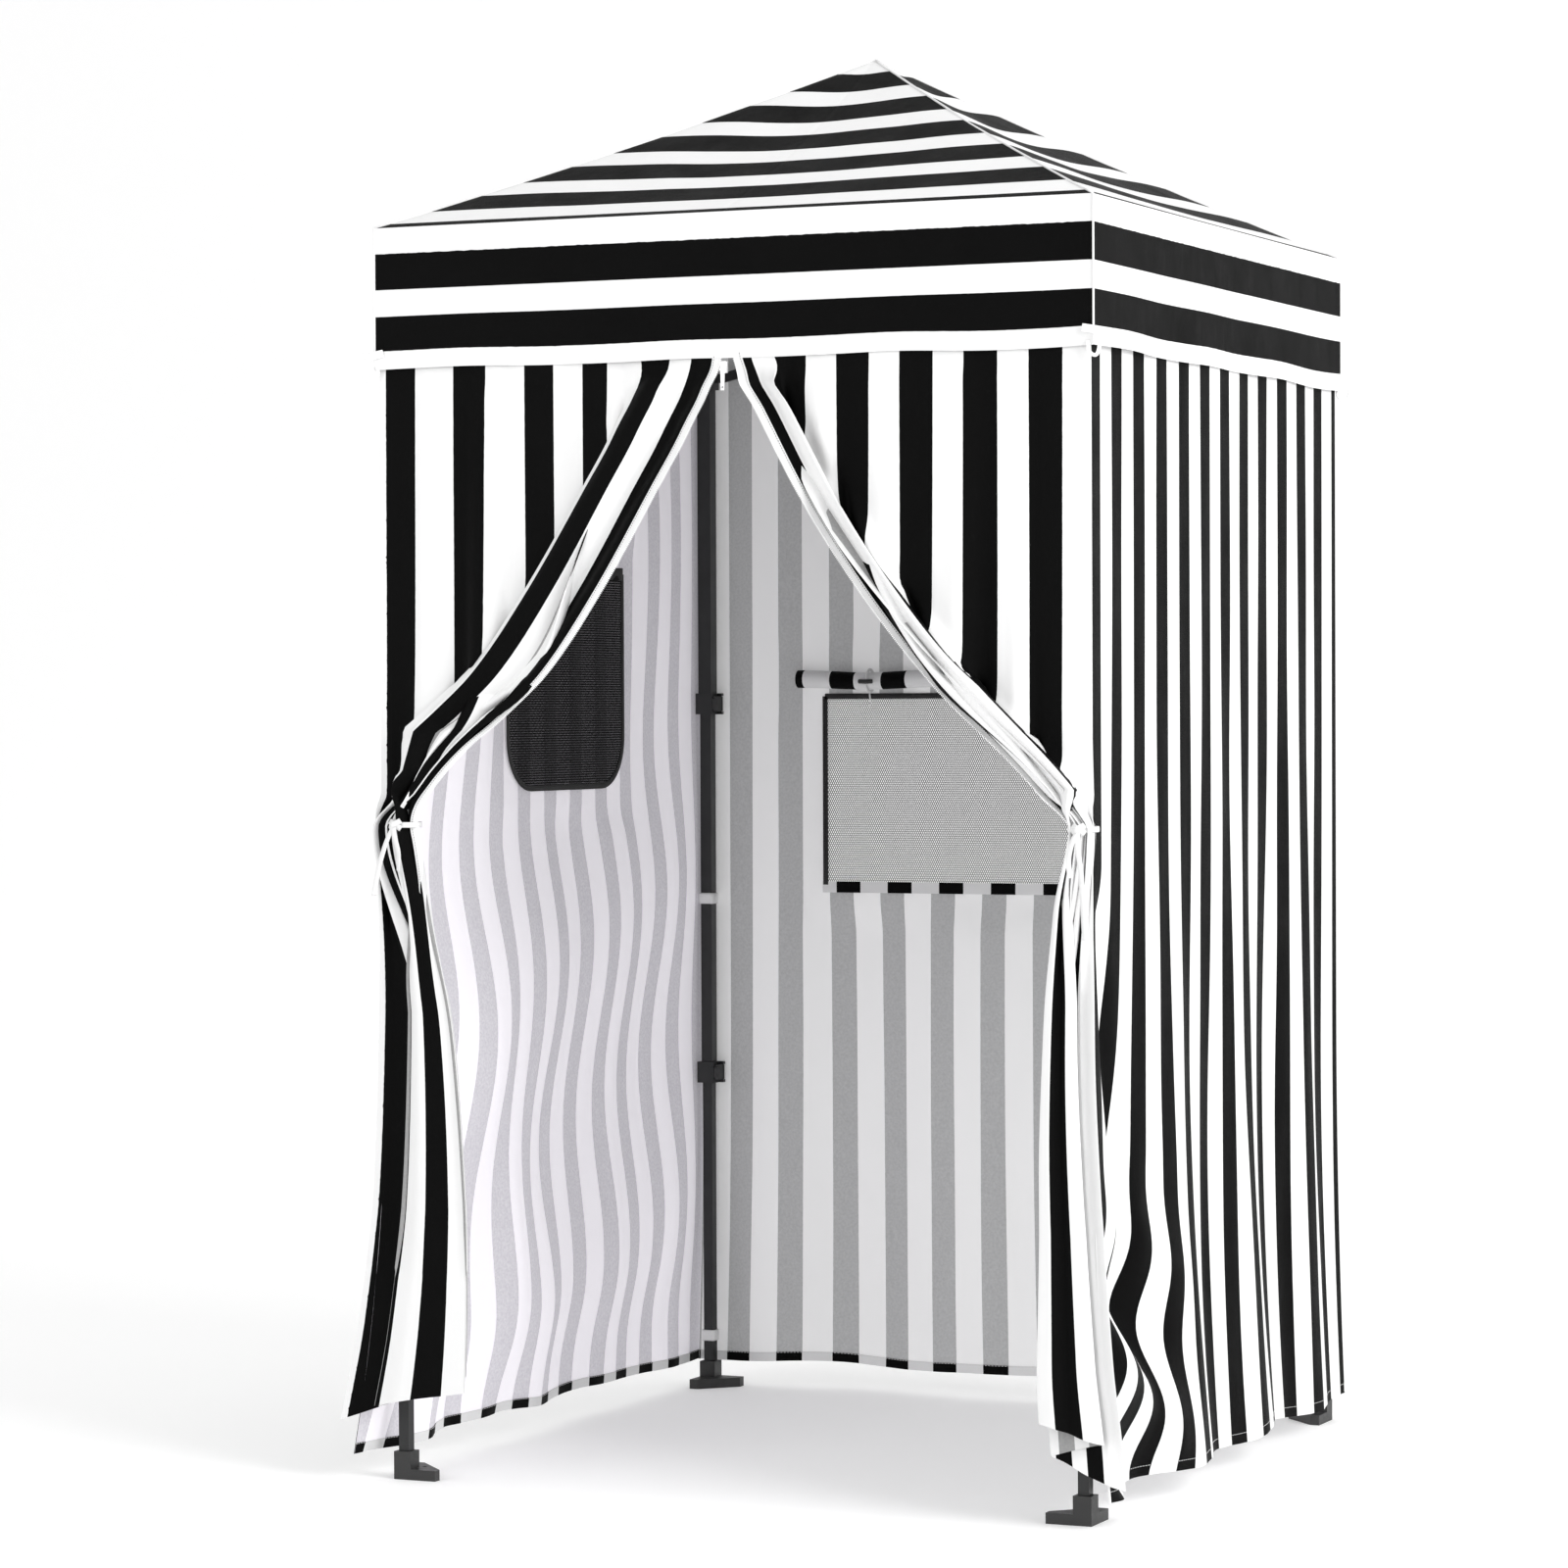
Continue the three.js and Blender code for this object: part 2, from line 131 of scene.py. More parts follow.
class Finish:
    def __init__(self, name, roughness=0.6, metallic=0.0, sheen=0.0):
        self.material = bpy.data.materials.new(name)
        self.material.use_nodes = True
        self.tree = self.material.node_tree
        self.skin = self.tree.nodes["Principled BSDF"]
        self.skin.inputs["Roughness"].default_value = roughness
        self.skin.inputs["Metallic"].default_value = metallic
        self.skin.inputs["Sheen Weight"].default_value = sheen

    def node(self, kind, out=0, inputs=None, **settings):
        made = self.tree.nodes.new(kind)
        for key, value in settings.items():
            setattr(made, key, value)
        for key, value in (inputs or {}).items():
            if isinstance(value, Sum):
                self.tree.links.new(value.socket, made.inputs[key])
            else:
                made.inputs[key].default_value = value
        return Sum(self.tree, made.outputs[out])

    def place(self):
        return self.node("ShaderNodeTexCoord", out="Object")

    def cloth_map(self):
        return self.node("ShaderNodeUVMap", uv_map="cloth")

    def axes(self, vector):
        made = self.tree.nodes.new("ShaderNodeSeparateXYZ")
        self.tree.links.new(vector.socket, made.inputs[0])
        return [Sum(self.tree, made.outputs[i]) for i in range(3)]

    def noise(self, vector, scale, detail=3.0, stretch=(1, 1, 1)):
        turned = self.node("ShaderNodeMapping", inputs={"Vector": vector, "Scale": stretch})
        return self.node("ShaderNodeTexNoise", inputs={"Vector": turned, "Scale": scale, "Detail": detail})

    def blend(self, factor, a, b):
        made = self.tree.nodes.new("ShaderNodeMix")
        made.data_type = "RGBA"
        for pin, value in ((0, factor), (6, a), (7, b)):
            if isinstance(value, Sum):
                self.tree.links.new(value.socket, made.inputs[pin])
            else:
                made.inputs[pin].default_value = value
        return Sum(self.tree, made.outputs[2])

    def paint(self, name, value):
        self.tree.links.new(value.socket, self.skin.inputs[name])

    def relief(self, height, distance, strength=1.0):
        bump = self.node("ShaderNodeBump", inputs={"Height": height, "Distance": distance, "Strength": strength})
        self.paint("Normal", bump)


def grey(value, warmth=0.0):
    return (value * (1 + warmth), value, value * (1 - warmth), 1.0)


# %% [markdown]
# The skin is thin woven polyester, printed on its outer face. Stripes come from the first
# number of the `cloth` map, which counts stripe periods: the cloth is black wherever its
# fraction is below `BLACK`. Inside, the print only shows through as a grey ghost. The inner
# finishes are lit and shaded copies of one cloth. Their colours carry painted light and shade
# for each inner face, and a painted glow (emission) stands in for daylight through the weave,
# so the walls look paler from inside.

# %% Striped polyester
def polyester(name, white, black, painted_glow=0.0, dirt=0.03):
    cloth = Finish(name, roughness=0.62, sheen=0.016)
    cloth.skin.inputs["Sheen Roughness"].default_value = 0.3
    cloth.skin.inputs["Specular IOR Level"].default_value = 0.05
    stripe = cloth.axes(cloth.cloth_map())[0]
    place = cloth.place()
    x, y, z = cloth.axes(place)
    wobble = cloth.noise(place, 90.0, 2.0) * 0.006 - 0.003
    ink = (stripe + wobble).rest() < BLACK
    cloudy = cloth.noise(place, 5.0, 4.0) * dirt
    paper = cloth.blend(cloudy, white, grey(white[0] * 0.6))
    printed = cloth.blend(cloth.noise(place, 240.0, 2.0) * 0.5, black, grey(black[0] * 1.9 + 0.001))
    colour = cloth.blend(ink, paper, printed)
    cloth.paint("Base Color", colour)
    cloth.paint("Roughness", cloth.noise(place, 14.0, 3.0) * 0.22 + 0.5)
    weft = (z * 5200.0).wave() * ((x + y) * 5200.0).wave()
    crumple = cloth.noise(place, 9.0, 5.0, stretch=(1, 1, 0.55))
    crease = cloth.noise(place, 30.0, 4.0, stretch=(1, 1, 0.4))
    cloth.relief(weft * 0.02 + crumple * 1.0 + crease * 0.22, 0.006, 0.55)
    # painted glow: emission in the cloth's own colour fakes daylight coming through the weave; the cloth is no lamp
    if painted_glow:
        cloth.paint("Emission Color", colour)
        cloth.skin.inputs["Emission Strength"].default_value = painted_glow
    return cloth.material


OUTSIDE = polyester("polyester_printed", grey(0.82), grey(0.0016))
# Lit copies of the inner cloth: the walls carry a painted glow, and the left wall is painted paler and tinted as the
# side the light falls on
INSIDE_BACK_PAINTED_GLOW = polyester("polyester_back_wall_inside_painted_glow", grey(0.84), grey(0.34, -0.01), painted_glow=0.22)
INSIDE_LEFT_PAINTED_GLOW = polyester("polyester_left_wall_inside_painted_glow", (0.88, 0.855, 0.90, 1), (0.47, 0.45, 0.50, 1), painted_glow=0.30)
# Shaded copies of the inner cloth: the roof and door inner faces are painted darker as painted shade, and the door
# keeps a faint painted glow
INSIDE_ROOF_PAINTED_SHADE = polyester("polyester_roof_inside_painted_shade", grey(0.66), grey(0.22))
INSIDE_DOOR_PAINTED_SHADE_GLOW = polyester("polyester_door_inside_painted_shade_and_glow", grey(0.80), grey(0.26), painted_glow=0.04)
print("cloth finishes:", [m.name for m in bpy.data.materials if m.name.startswith("polyester")])

# %% [markdown]
# Tapes and ties are white webbing with fine ribs along them. The binding round the window
# and the pocket is the same webbing in black. Ribs are a sine of the second number of the
# `cloth` map, which is metres across the tape.

# %% Webbing
def webbing(name, colour, rough=0.75):
    tape = Finish(name, roughness=rough, sheen=0.03)
    u, v, _ = tape.axes(tape.cloth_map())
    place = tape.place()
    tape.paint("Base Color", tape.blend(tape.noise(place, 60.0, 3.0) * 0.35, colour, grey(colour[0] * 0.72)))
    ribs = (v * 5200.0).wave() * (u * 2600.0).wave()
    tape.relief(ribs * 0.5 + tape.noise(place, 120.0, 2.0) * 0.5, 0.0004, 0.6)
    return tape.material


WHITE_TAPE = webbing("webbing_white", grey(0.84))
BLACK_TAPE = webbing("webbing_black", grey(0.018))

# %% [markdown]
# The window and the pocket are knitted net. Real net has about 2 mm holes. It would take
# millions of threads, so one flat sheet carries the net as an alpha pattern: two slanted
# sets of threads, each a fraction of a coordinate compared with a thread's width.

# %% Net
def net(name, colour, pitch, thread):
    mesh = Finish(name, roughness=0.7)
    mesh.skin.inputs["Specular IOR Level"].default_value = 0.1
    u, v, _ = mesh.axes(mesh.cloth_map())
    a = ((u + v * 0.5) / pitch).rest()
    b = ((u - v * 0.5) / pitch + 40.0).rest()
    solid = (a < thread).top(b < thread)
    mesh.paint("Alpha", solid)
    mesh.paint("Base Color", mesh.blend(mesh.noise(mesh.place(), 50.0, 2.0) * 0.4, colour, grey(colour[0] * 0.7)))
    return mesh.material


WINDOW_NET = net("net_grey", grey(0.36), 0.0040, 0.46)
POCKET_NET = net("net_black", grey(0.006), 0.0042, 0.74)

# %% [markdown]
# The frame is steel tube with a charcoal powder coat, and its brackets, sliders, clamps and
# feet are moulded nylon. Powder coat has a fine orange peel, and nylon a duller grain.

# %% Frame finishes
def powder_coat():
    coat = Finish("powder_coat_charcoal", roughness=0.46, metallic=0.2)
    place = coat.place()
    coat.paint("Base Color", coat.blend(coat.noise(place, 22.0, 4.0), grey(0.011, -0.02), grey(0.024, -0.03)))
    coat.paint("Roughness", coat.noise(place, 60.0, 4.0, stretch=(1, 1, 0.2)) * 0.25 + 0.3)
    coat.relief(coat.noise(place, 900.0, 2.0), 0.0003, 0.25)
    return coat.material


def nylon(name, colour, rough):
    plastic = Finish(name, roughness=rough)
    place = plastic.place()
    plastic.paint("Base Color", plastic.blend(plastic.noise(place, 35.0, 4.0), grey(colour), grey(colour * 1.7)))
    plastic.paint("Roughness", plastic.noise(place, 80.0, 3.0) * 0.2 + rough - 0.1)
    plastic.relief(plastic.noise(place, 1300.0, 2.0), 0.0003, 0.35)
    return plastic.material


COAT = powder_coat()
BLACK_NYLON = nylon("nylon_black", 0.016, 0.5)
WHITE_NYLON = nylon("nylon_white", 0.80, 0.4)

SKIN_NODES = {"canopy", "wall_left", "wall_right", "wall_back", "window_mesh", "window_roll",
              "mesh_pocket", "door_left", "door_right"}
for name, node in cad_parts.items():
    if name in SKIN_NODES:
        continue
    coated = name.startswith(("leg_", "bar_", "roof_rib"))
    node.data.materials.clear()
    node.data.materials.append(COAT if coated else WHITE_NYLON if name.startswith("zipper") else BLACK_NYLON)
    edge = node.modifiers.new("soft edges", "BEVEL")
    edge.width, edge.segments, edge.limit_method, edge.angle_limit = 0.0009, 2, "ANGLE", math.radians(40)
print("frame finishes on", len(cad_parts) - len(SKIN_NODES), "nodes")

# %% [markdown]
# ## Cloth helpers
# A panel of cloth is a grid of points. `panel` turns the grid into a mesh with a `cloth`
# map, leaves out any cells that a hole removes, and gives the sheet its thickness with
# Solidify, whose inner side takes the next material. The grid's first direction crossed
# with its second must point outward, and `flip` turns it round where it doesn't.

# %% Panel helper
def panel(name, points, stripe, metres, outside, inside, flip=False, keep=None, thickness=0.0011, offset=-1.0):
    rows, cols = points.shape[:2]
    mesh = bpy.data.meshes.new(name)
    cells = [(r, c) for r in range(rows - 1) for c in range(cols - 1) if keep is None or keep[r, c]]
    faces = []
    for r, c in cells:
        a, b, d, e = r * cols + c, r * cols + c + 1, (r + 1) * cols + c + 1, (r + 1) * cols + c
        faces.append((a, e, d, b) if flip else (a, b, d, e))
    mesh.from_pydata(points.reshape(-1, 3).tolist(), [], faces)
    layer = mesh.uv_layers.new(name="cloth")
    index = np.empty(len(mesh.loops), int)
    mesh.loops.foreach_get("vertex_index", index)
    flat = np.stack([np.broadcast_to(stripe, (rows, cols)).ravel()[index],
                     np.broadcast_to(metres, (rows, cols)).ravel()[index]], axis=1)
    layer.data.foreach_set("uv", flat.ravel().astype(np.float32))
    mesh.polygons.foreach_set("use_smooth", np.ones(len(mesh.polygons), bool))
    if keep is not None:
        bm = bmesh.new()
        bm.from_mesh(mesh)
        bmesh.ops.delete(bm, geom=[v for v in bm.verts if not v.link_faces], context="VERTS")
        bm.to_mesh(mesh)
        bm.free()
    mesh.materials.append(outside)
    mesh.materials.append(inside)
    sheet = bpy.data.objects.new(name, mesh)
    bpy.context.scene.collection.objects.link(sheet)
    if thickness:
        wall = sheet.modifiers.new("thickness", "SOLIDIFY")
        wall.thickness, wall.offset, wall.material_offset, wall.use_even_offset = thickness, offset, 1, False
        bake(sheet).data.set_sharp_from_angle(angle=math.radians(70))     # keeps the thin rim from shading the face
    return sheet


def bake(piece):
    """Turns a piece and its modifiers into a plain mesh."""
    shown = piece.evaluated_get(bpy.context.evaluated_depsgraph_get())
    mesh = bpy.data.meshes.new_from_object(shown)
    piece.modifiers.clear()
    piece.data = mesh
    return piece


# %% [markdown]
# Cloth is never flat. `ripples` adds up a few dozen plane waves with random directions,
# which gives soft, wide waves or short creases depending on the wavelengths. The random
# numbers are seeded, so the folds come out the same every time.

# %% Ripples
def ripples(a, b, seed, low, high, count=14, lean=1.0):
    rng = np.random.default_rng(int(seed * 10))
    total = np.zeros(np.broadcast(a, b).shape)
    for _ in range(count):
        length = rng.uniform(low, high)
        turn = rng.uniform(-1, 1) * math.pi * 0.5 * lean
        phase = rng.uniform(0, 2 * math.pi)
        total += np.sin((a * math.cos(turn) + b * math.sin(turn)) * 2 * math.pi / length + phase) * length / high
    return total / math.sqrt(count)


def calm(values, passes=12):
    for _ in range(passes):
        values = np.vstack([values[:1], (values[:-2] + 2 * values[1:-1] + values[2:]) / 4, values[-1:]])
    return values


def smooth(x, low, high):
    t = np.clip((x - low) / (high - low), 0, 1)
    return t * t * (3 - 2 * t)


def lean_out(z, share=1.0):
    """How far a wall stands from the middle at a height: straight, then flaring to the hem."""
    t = np.clip((0.35 * EAVE - z) / (0.35 * EAVE - HEM), 0, 1)
    return WALL + FLARE * share * t * t


FLARED = {(-1, -1): 1.0, (1, -1): 1.0, (1, 1): 0.25, (-1, 1): 0.6}     # the back corners hang straighter


# %% [markdown]
# Tapes, cords, piping and seams all follow a path. `ribbon` sweeps a flat rounded section
# along a smoothed path and keeps its broad side facing a given way.

# %% Ribbon helper
def smooth_path(points, count):
    points = np.asarray(points, float)
    steps = np.concatenate([[0], np.cumsum(np.linalg.norm(np.diff(points, axis=0), axis=1))])
    t = np.linspace(0, steps[-1], count)
    n = len(points)
    padded = np.vstack([2 * points[0] - points[1], points, 2 * points[-1] - points[-2]])
    out = []
    for value in t:
        k = min(max(int(np.searchsorted(steps, value, "right")) - 1, 0), n - 2)
        s = (value - steps[k]) / max(steps[k + 1] - steps[k], 1e-9)
        p0, p1, p2, p3 = padded[k:k + 4]
        out.append(0.5 * (2 * p1 + (p2 - p0) * s + (2 * p0 - 5 * p1 + 4 * p2 - p3) * s ** 2
                          + (3 * p1 - p0 - 3 * p2 + p3) * s ** 3))
    return np.array(out)


def ribbon(name, points, width, thickness, facing, material, count=60, closed=False, twist=0.0, straight=False):
    path = np.asarray(points, float) if straight else smooth_path(points, count)
    if closed:
        path = path[:-1]
    n = len(path)
    ahead = np.roll(path, -1, 0) - np.roll(path, 1, 0) if closed else np.gradient(path, axis=0)
    ahead /= np.maximum(np.linalg.norm(ahead, axis=1, keepdims=True), 1e-9)
    face = np.broadcast_to(np.asarray(facing, float), path.shape)
    side = np.cross(face, ahead)
    side /= np.maximum(np.linalg.norm(side, axis=1, keepdims=True), 1e-9)
    up = np.cross(ahead, side)
    if twist:
        turn = np.linspace(0, twist, n)[:, None]
        side, up = side * np.cos(turn) + up * np.sin(turn), up * np.cos(turn) - side * np.sin(turn)
    w, t = width / 2, thickness / 2
    section = [(-w, -t * 0.4), (-w * 0.94, -t), (w * 0.94, -t), (w, -t * 0.4),
               (w, t * 0.4), (w * 0.94, t), (-w * 0.94, t), (-w, t * 0.4)]
    if width < thickness * 1.6:
        section = [(w * math.cos(a), t * math.sin(a)) for a in np.linspace(0, 2 * math.pi, 9)[:-1]]
    rings = np.stack([path + side * a + up * b for a, b in section], axis=1)
    m = len(section)
    faces = []
    for k in range(n if closed else n - 1):
        q = (k + 1) % n
        faces += [(k * m + i, k * m + (i + 1) % m, q * m + (i + 1) % m, q * m + i) for i in range(m)]
    if not closed:
        faces += [tuple(range(m))[::-1], tuple((n - 1) * m + i for i in range(m))]
    mesh = bpy.data.meshes.new(name)
    mesh.from_pydata(rings.reshape(-1, 3).tolist(), [], faces)
    along = np.concatenate([[0], np.cumsum(np.linalg.norm(np.diff(path, axis=0), axis=1))])
    layer = mesh.uv_layers.new(name="cloth")
    across = np.array([a for a, _ in section])
    for loop, item in zip(mesh.loops, layer.data):
        item.uv = (along[loop.vertex_index // m], across[loop.vertex_index % m])
    mesh.polygons.foreach_set("use_smooth", np.ones(len(mesh.polygons), bool))
    tidy_normals(mesh)
    mesh.materials.append(material)
    piece = bpy.data.objects.new(name, mesh)
    bpy.context.scene.collection.objects.link(piece)
    return piece


def tidy_normals(mesh):
    bm = bmesh.new()
    bm.from_mesh(mesh)
    bmesh.ops.remove_doubles(bm, verts=bm.verts, dist=1e-6)
    bmesh.ops.recalc_face_normals(bm, faces=bm.faces)
    bm.to_mesh(mesh)
    bm.free()


# %% [markdown]
# Zip teeth and stitches are the same small shape over and over along a path. A Geometry
# Nodes tree does that: it resamples the path to the wanted spacing, puts a small rounded
# block on each point, turned to follow the path, and makes the copies real. One tree
# serves both, with the block's three sizes and the spacing as its inputs.

# %% Beads along a path
def bead_tree():
    tree = bpy.data.node_groups.new("beads along a path", "GeometryNodeTree")
    face = tree.interface
    face.new_socket("Geometry", in_out="INPUT", socket_type="NodeSocketGeometry")
    for label, value in (("Spacing", 0.003), ("Length", 0.002), ("Width", 0.001), ("Height", 0.001)):
        face.new_socket(label, in_out="INPUT", socket_type="NodeSocketFloat").default_value = value
    face.new_socket("Finish", in_out="INPUT", socket_type="NodeSocketMaterial")
    face.new_socket("Geometry", in_out="OUTPUT", socket_type="NodeSocketGeometry")
    new, link = tree.nodes.new, tree.links.new
    start, end = new("NodeGroupInput"), new("NodeGroupOutput")
    curve = new("GeometryNodeMeshToCurve")
    link(start.outputs["Geometry"], curve.inputs["Mesh"])
    even = new("GeometryNodeResampleCurve")
    even.mode = "LENGTH"
    link(curve.outputs["Curve"], even.inputs["Curve"])
    link(start.outputs["Spacing"], even.inputs["Length"])
    tangent, normal = new("GeometryNodeInputTangent"), new("GeometryNodeInputNormal")
    turn = new("FunctionNodeAxesToRotation")
    turn.primary_axis, turn.secondary_axis = "X", "Z"
    link(tangent.outputs[0], turn.inputs["Primary Axis"])
    link(normal.outputs[0], turn.inputs["Secondary Axis"])
    block = new("GeometryNodeMeshUVSphere")
    block.inputs["Segments"].default_value = 6
    block.inputs["Rings"].default_value = 4
    block.inputs["Radius"].default_value = 0.5
    size = new("ShaderNodeCombineXYZ")
    for pin, label in zip(size.inputs, ("Length", "Width", "Height")):
        link(start.outputs[label], pin)
    copies = new("GeometryNodeInstanceOnPoints")
    link(even.outputs["Curve"], copies.inputs["Points"])
    link(block.outputs["Mesh"], copies.inputs["Instance"])
    link(turn.outputs["Rotation"], copies.inputs["Rotation"])
    link(size.outputs[0], copies.inputs["Scale"])
    real, paint = new("GeometryNodeRealizeInstances"), new("GeometryNodeSetMaterial")
    link(copies.outputs["Instances"], real.inputs["Geometry"])
    link(real.outputs["Geometry"], paint.inputs["Geometry"])
    link(start.outputs["Finish"], paint.inputs["Material"])
    link(paint.outputs["Geometry"], end.inputs["Geometry"])
    return tree


BEADS = bead_tree()


def beads(name, paths, spacing, length, width, height, finish):
    """Beads along one or more open paths, as one plain mesh."""
    mesh = bpy.data.meshes.new(name)
    points, edges = [], []
    for path in paths:
        base = len(points)
        points += [tuple(p) for p in path]
        edges += [(base + i, base + i + 1) for i in range(len(path) - 1)]
    mesh.from_pydata(points, edges, [])
    piece = bpy.data.objects.new(name, mesh)
    bpy.context.scene.collection.objects.link(piece)
    mod = piece.modifiers.new("beads", "NODES")
    mod.node_group = BEADS
    pins = {item.name: item.identifier for item in BEADS.interface.items_tree if item.in_out == "INPUT"}
    for label, value in (("Spacing", spacing), ("Length", length), ("Width", width), ("Height", height),
                         ("Finish", finish)):
        mod[pins[label]] = value
    bake(piece)
    print(name, "has", len(piece.data.polygons), "faces")
    return piece


# %% [markdown]
# Stitching is a thread that dips in and out of the cloth, about 3 mm at a time. White
# thread is used on the hems, and black thread on the zip tapes.

# %% Thread
THREAD = webbing("thread_white", grey(0.78))
DARK_THREAD = webbing("thread_black", grey(0.03))


# %% [markdown]
# ## Roof
# The roof is sewn from four triangles over the ribs, and sags a little between them, so
# its ridges curve inwards. It folds like an umbrella, so it is made in four quarters, one
# on each rib, and each quarter follows its rib.
# Each quarter laps a few millimetres under its neighbour, so no gap shows when it is open.

# %% Roof quarters
ROOF_FIRST, ROOF_HALF_BAND, ROOF_STEP = -0.02, 0.05, 0.178     # black bands, as shares of the way up
STRIPES_ROOF = [(ROOF_FIRST - ROOF_HALF_BAND + ROOF_STEP * k, ROOF_FIRST + ROOF_HALF_BAND + ROOF_STEP * k)
                for k in range(6)]


def stripe_count(distance, bands):
    """Counts stripes along a distance, so that each black band lies between its two limits."""
    marks = [m for pair in bands for m in pair]
    counts = [k + s for k in range(len(bands)) for s in (0.0, BLACK)]
    before, after = marks[0] - 1.0, marks[-1] + 1.0
    return np.interp(distance, [before] + marks + [after], [counts[0] - 0.5] + counts + [counts[-1] + 0.5])


def roof_height(x, y):
    far = np.maximum(np.abs(x), np.abs(y))
    near = np.minimum(np.abs(x), np.abs(y))
    t = 1 - far / HALF
    height = EAVE + (PEAK - EAVE) * (0.9 * t + 0.1 * t * t)
    across = near / np.maximum(far, 1e-6)
    dip = 0.010 * np.sin(np.pi * np.clip(t, 0, 1)) * np.cos(across * math.pi / 2) ** 2
    fine = ripples(x, y, 11, 0.09, 0.3) * 0.0009 * np.sin(np.pi * np.clip(t, 0, 1))
    return height - dip + fine, t


LAP = 0.004
grid = np.concatenate([[-LAP], np.linspace(0, HALF, 65)])
quarters = {}
for corner, (sx, sy) in CORNERS.items():
    gx, gy = np.meshgrid(grid * sx, grid * sy, indexing="ij")
    height, t = roof_height(gx, gy)
    under = 0.0008 * ((gx * sx < 0) | (gy * sy < 0))      # the lap passes just under its neighbour
    quarter = panel("roof_" + corner, np.stack([gx, gy, height - 0.0005 - under], -1), stripe_count(t, STRIPES_ROOF),
                    gx, OUTSIDE, INSIDE_ROOF_PAINTED_SHADE, flip=sx * sy > 0)
    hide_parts("canopy")
    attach(quarter, "rib_" + corner)
    quarters[corner] = quarter
print("roof quarters:", len(quarters))

# %% [markdown]
# The valance is the band that hangs from the eave. It is four strips, and each is split in
# the middle, so that each half follows the leg it hangs at. Its five bands are measured
# from the eave down, and its lower edge has a rolled hem that waves a little.

# %% Valance
BANDS = [(0.045, 0.099), (0.141, 0.195)]
SIDES = {"front": ((-1, -1), (1, -1)), "right": ((1, -1), (1, 1)), "back": ((1, 1), (-1, 1)),
         "left": ((-1, 1), (-1, -1))}
NAME_OF = {v: k for k, v in CORNERS.items()}
valance = []
for side, (first, last) in SIDES.items():
    for start, stop, corner in ((0.0, 0.5 + LAP, first), (0.5, 1.0, last)):
        s = np.linspace(start, stop, 120)
        d = np.linspace(0, 0.226, 40)
        S, D = np.meshgrid(s, d, indexing="xy")
        a, b = np.array(first) * HALF, np.array(last) * HALF
        out = np.array([b[1] - a[1], -(b[0] - a[0])]) / (2 * HALF)
        hang = smooth(D, 0.05, 0.226) * np.sin(np.pi * np.clip(S, 0, 1)) ** 0.5
        swing = ripples(S * 1.22, D, 21 + len(side), 0.16, 0.5, lean=0.25) * 0.0040 * hang - 0.0012 * hang
        pucker = ripples(S * 1.22, D * 2.0, 26 + len(side), 0.012, 0.045, lean=0.2) * smooth(D, 0.185, 0.212)
        swing = swing + 0.0007 * pucker * hang
        swing = swing - 0.0010 * (S > 0.5001) * (start == 0.0)
        roll = 0.0016 * smooth(D, 0.200, 0.207) - 0.0006 * smooth(D, 0.220, 0.226)
        x = a[0] + (b[0] - a[0]) * S + out[0] * (swing + roll)
        y = a[1] + (b[1] - a[1]) * S + out[1] * (swing + roll)
        low = 0.0025 * ripples(S * 1.22, D * 0, 31 + len(side), 0.15, 0.6) * smooth(D, 0.1, 0.226)
        strip = panel("valance_%s_%s" % (side, NAME_OF[corner]), np.stack([x, y, EAVE - D + low], -1),
                      stripe_count(D, BANDS), S, OUTSIDE, INSIDE_ROOF_PAINTED_SHADE, flip=True)
        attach(strip, "leg_" + NAME_OF[corner])
        valance.append((strip, side, corner))
print("valance strips:", len(valance))

# %% [markdown]
# ## Walls
# Each wall is one width of cloth with upright stripes, buttoned at the legs and loose
# between them, so it hangs in broad upright waves that grow toward the hem. Wave size is
# zero at the corners, where neighbouring walls are sewn together.

# %% Walls
PERIOD = 0.0995


def flat_spot(name, side, S, Z, margin=0.09):
    """1 where something is sewn flat to the wall, 0 a little way from it."""
    low, high = (Vector(c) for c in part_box(name))
    place = (0.5 - S) * 2 * HALF                          # both walls run from + to - of their axis
    first, last = (low.x, high.x) if side == "back" else (low.y, high.y)
    return (smooth(place, first - margin, first - 0.012) * (1 - smooth(place, last + 0.012, last + margin))
            * smooth(Z, low.z - margin, low.z - 0.02) * (1 - smooth(Z, high.z + 0.02, high.z + margin)))


def wall_points(side, columns, rows, seed, swell):
    """Points of one wall, columns along it from its first corner and rows by height."""
    S, Z = np.meshgrid(columns, rows, indexing="xy")
    (ax, ay), (bx, by) = SIDES[side]
    share = FLARED[ax, ay] + (FLARED[bx, by] - FLARED[ax, ay]) * S
    reach = lean_out(Z, share) - 0.0008
    centre = np.array([(ax + bx) / 2, (ay + by) / 2])
    along = np.array([(bx - ax) / 2, (by - ay) / 2])
    loose = np.clip(np.minimum(S, 1 - S) * 9, 0, 1)
    low = smooth(1.9 - Z, 0.0, 1.8)
    broad = ripples(S * 1.22, Z * 0.12, seed, 0.22, 0.62, lean=0.2) * (0.0022 + 0.0130 * low)
    fine = ripples(S * 1.22, Z * 0.35, seed + 5, 0.05, 0.15, lean=0.3) * (0.0006 + 0.0016 * low)
    push = (broad + fine) * loose + swell(S, Z)
    if side == "left":
        push = push * (1 - flat_spot("mesh_pocket", side, S, Z))
    if side == "back":
        push = push * (1 - np.maximum(flat_spot("window_mesh", side, S, Z), flat_spot("window_roll", side, S, Z)))
    x = centre[0] * (reach + push) + along[0] * (2 * S - 1) * reach
    y = centre[1] * (reach + push) + along[1] * (2 * S - 1) * reach
    lift = 0.006 * ripples(S * 1.22, Z * 0, seed + 9, 0.2, 0.6) * smooth(0.2 - Z, 0, 0.155)
    return np.stack([x, y, Z + lift], -1), S, Z


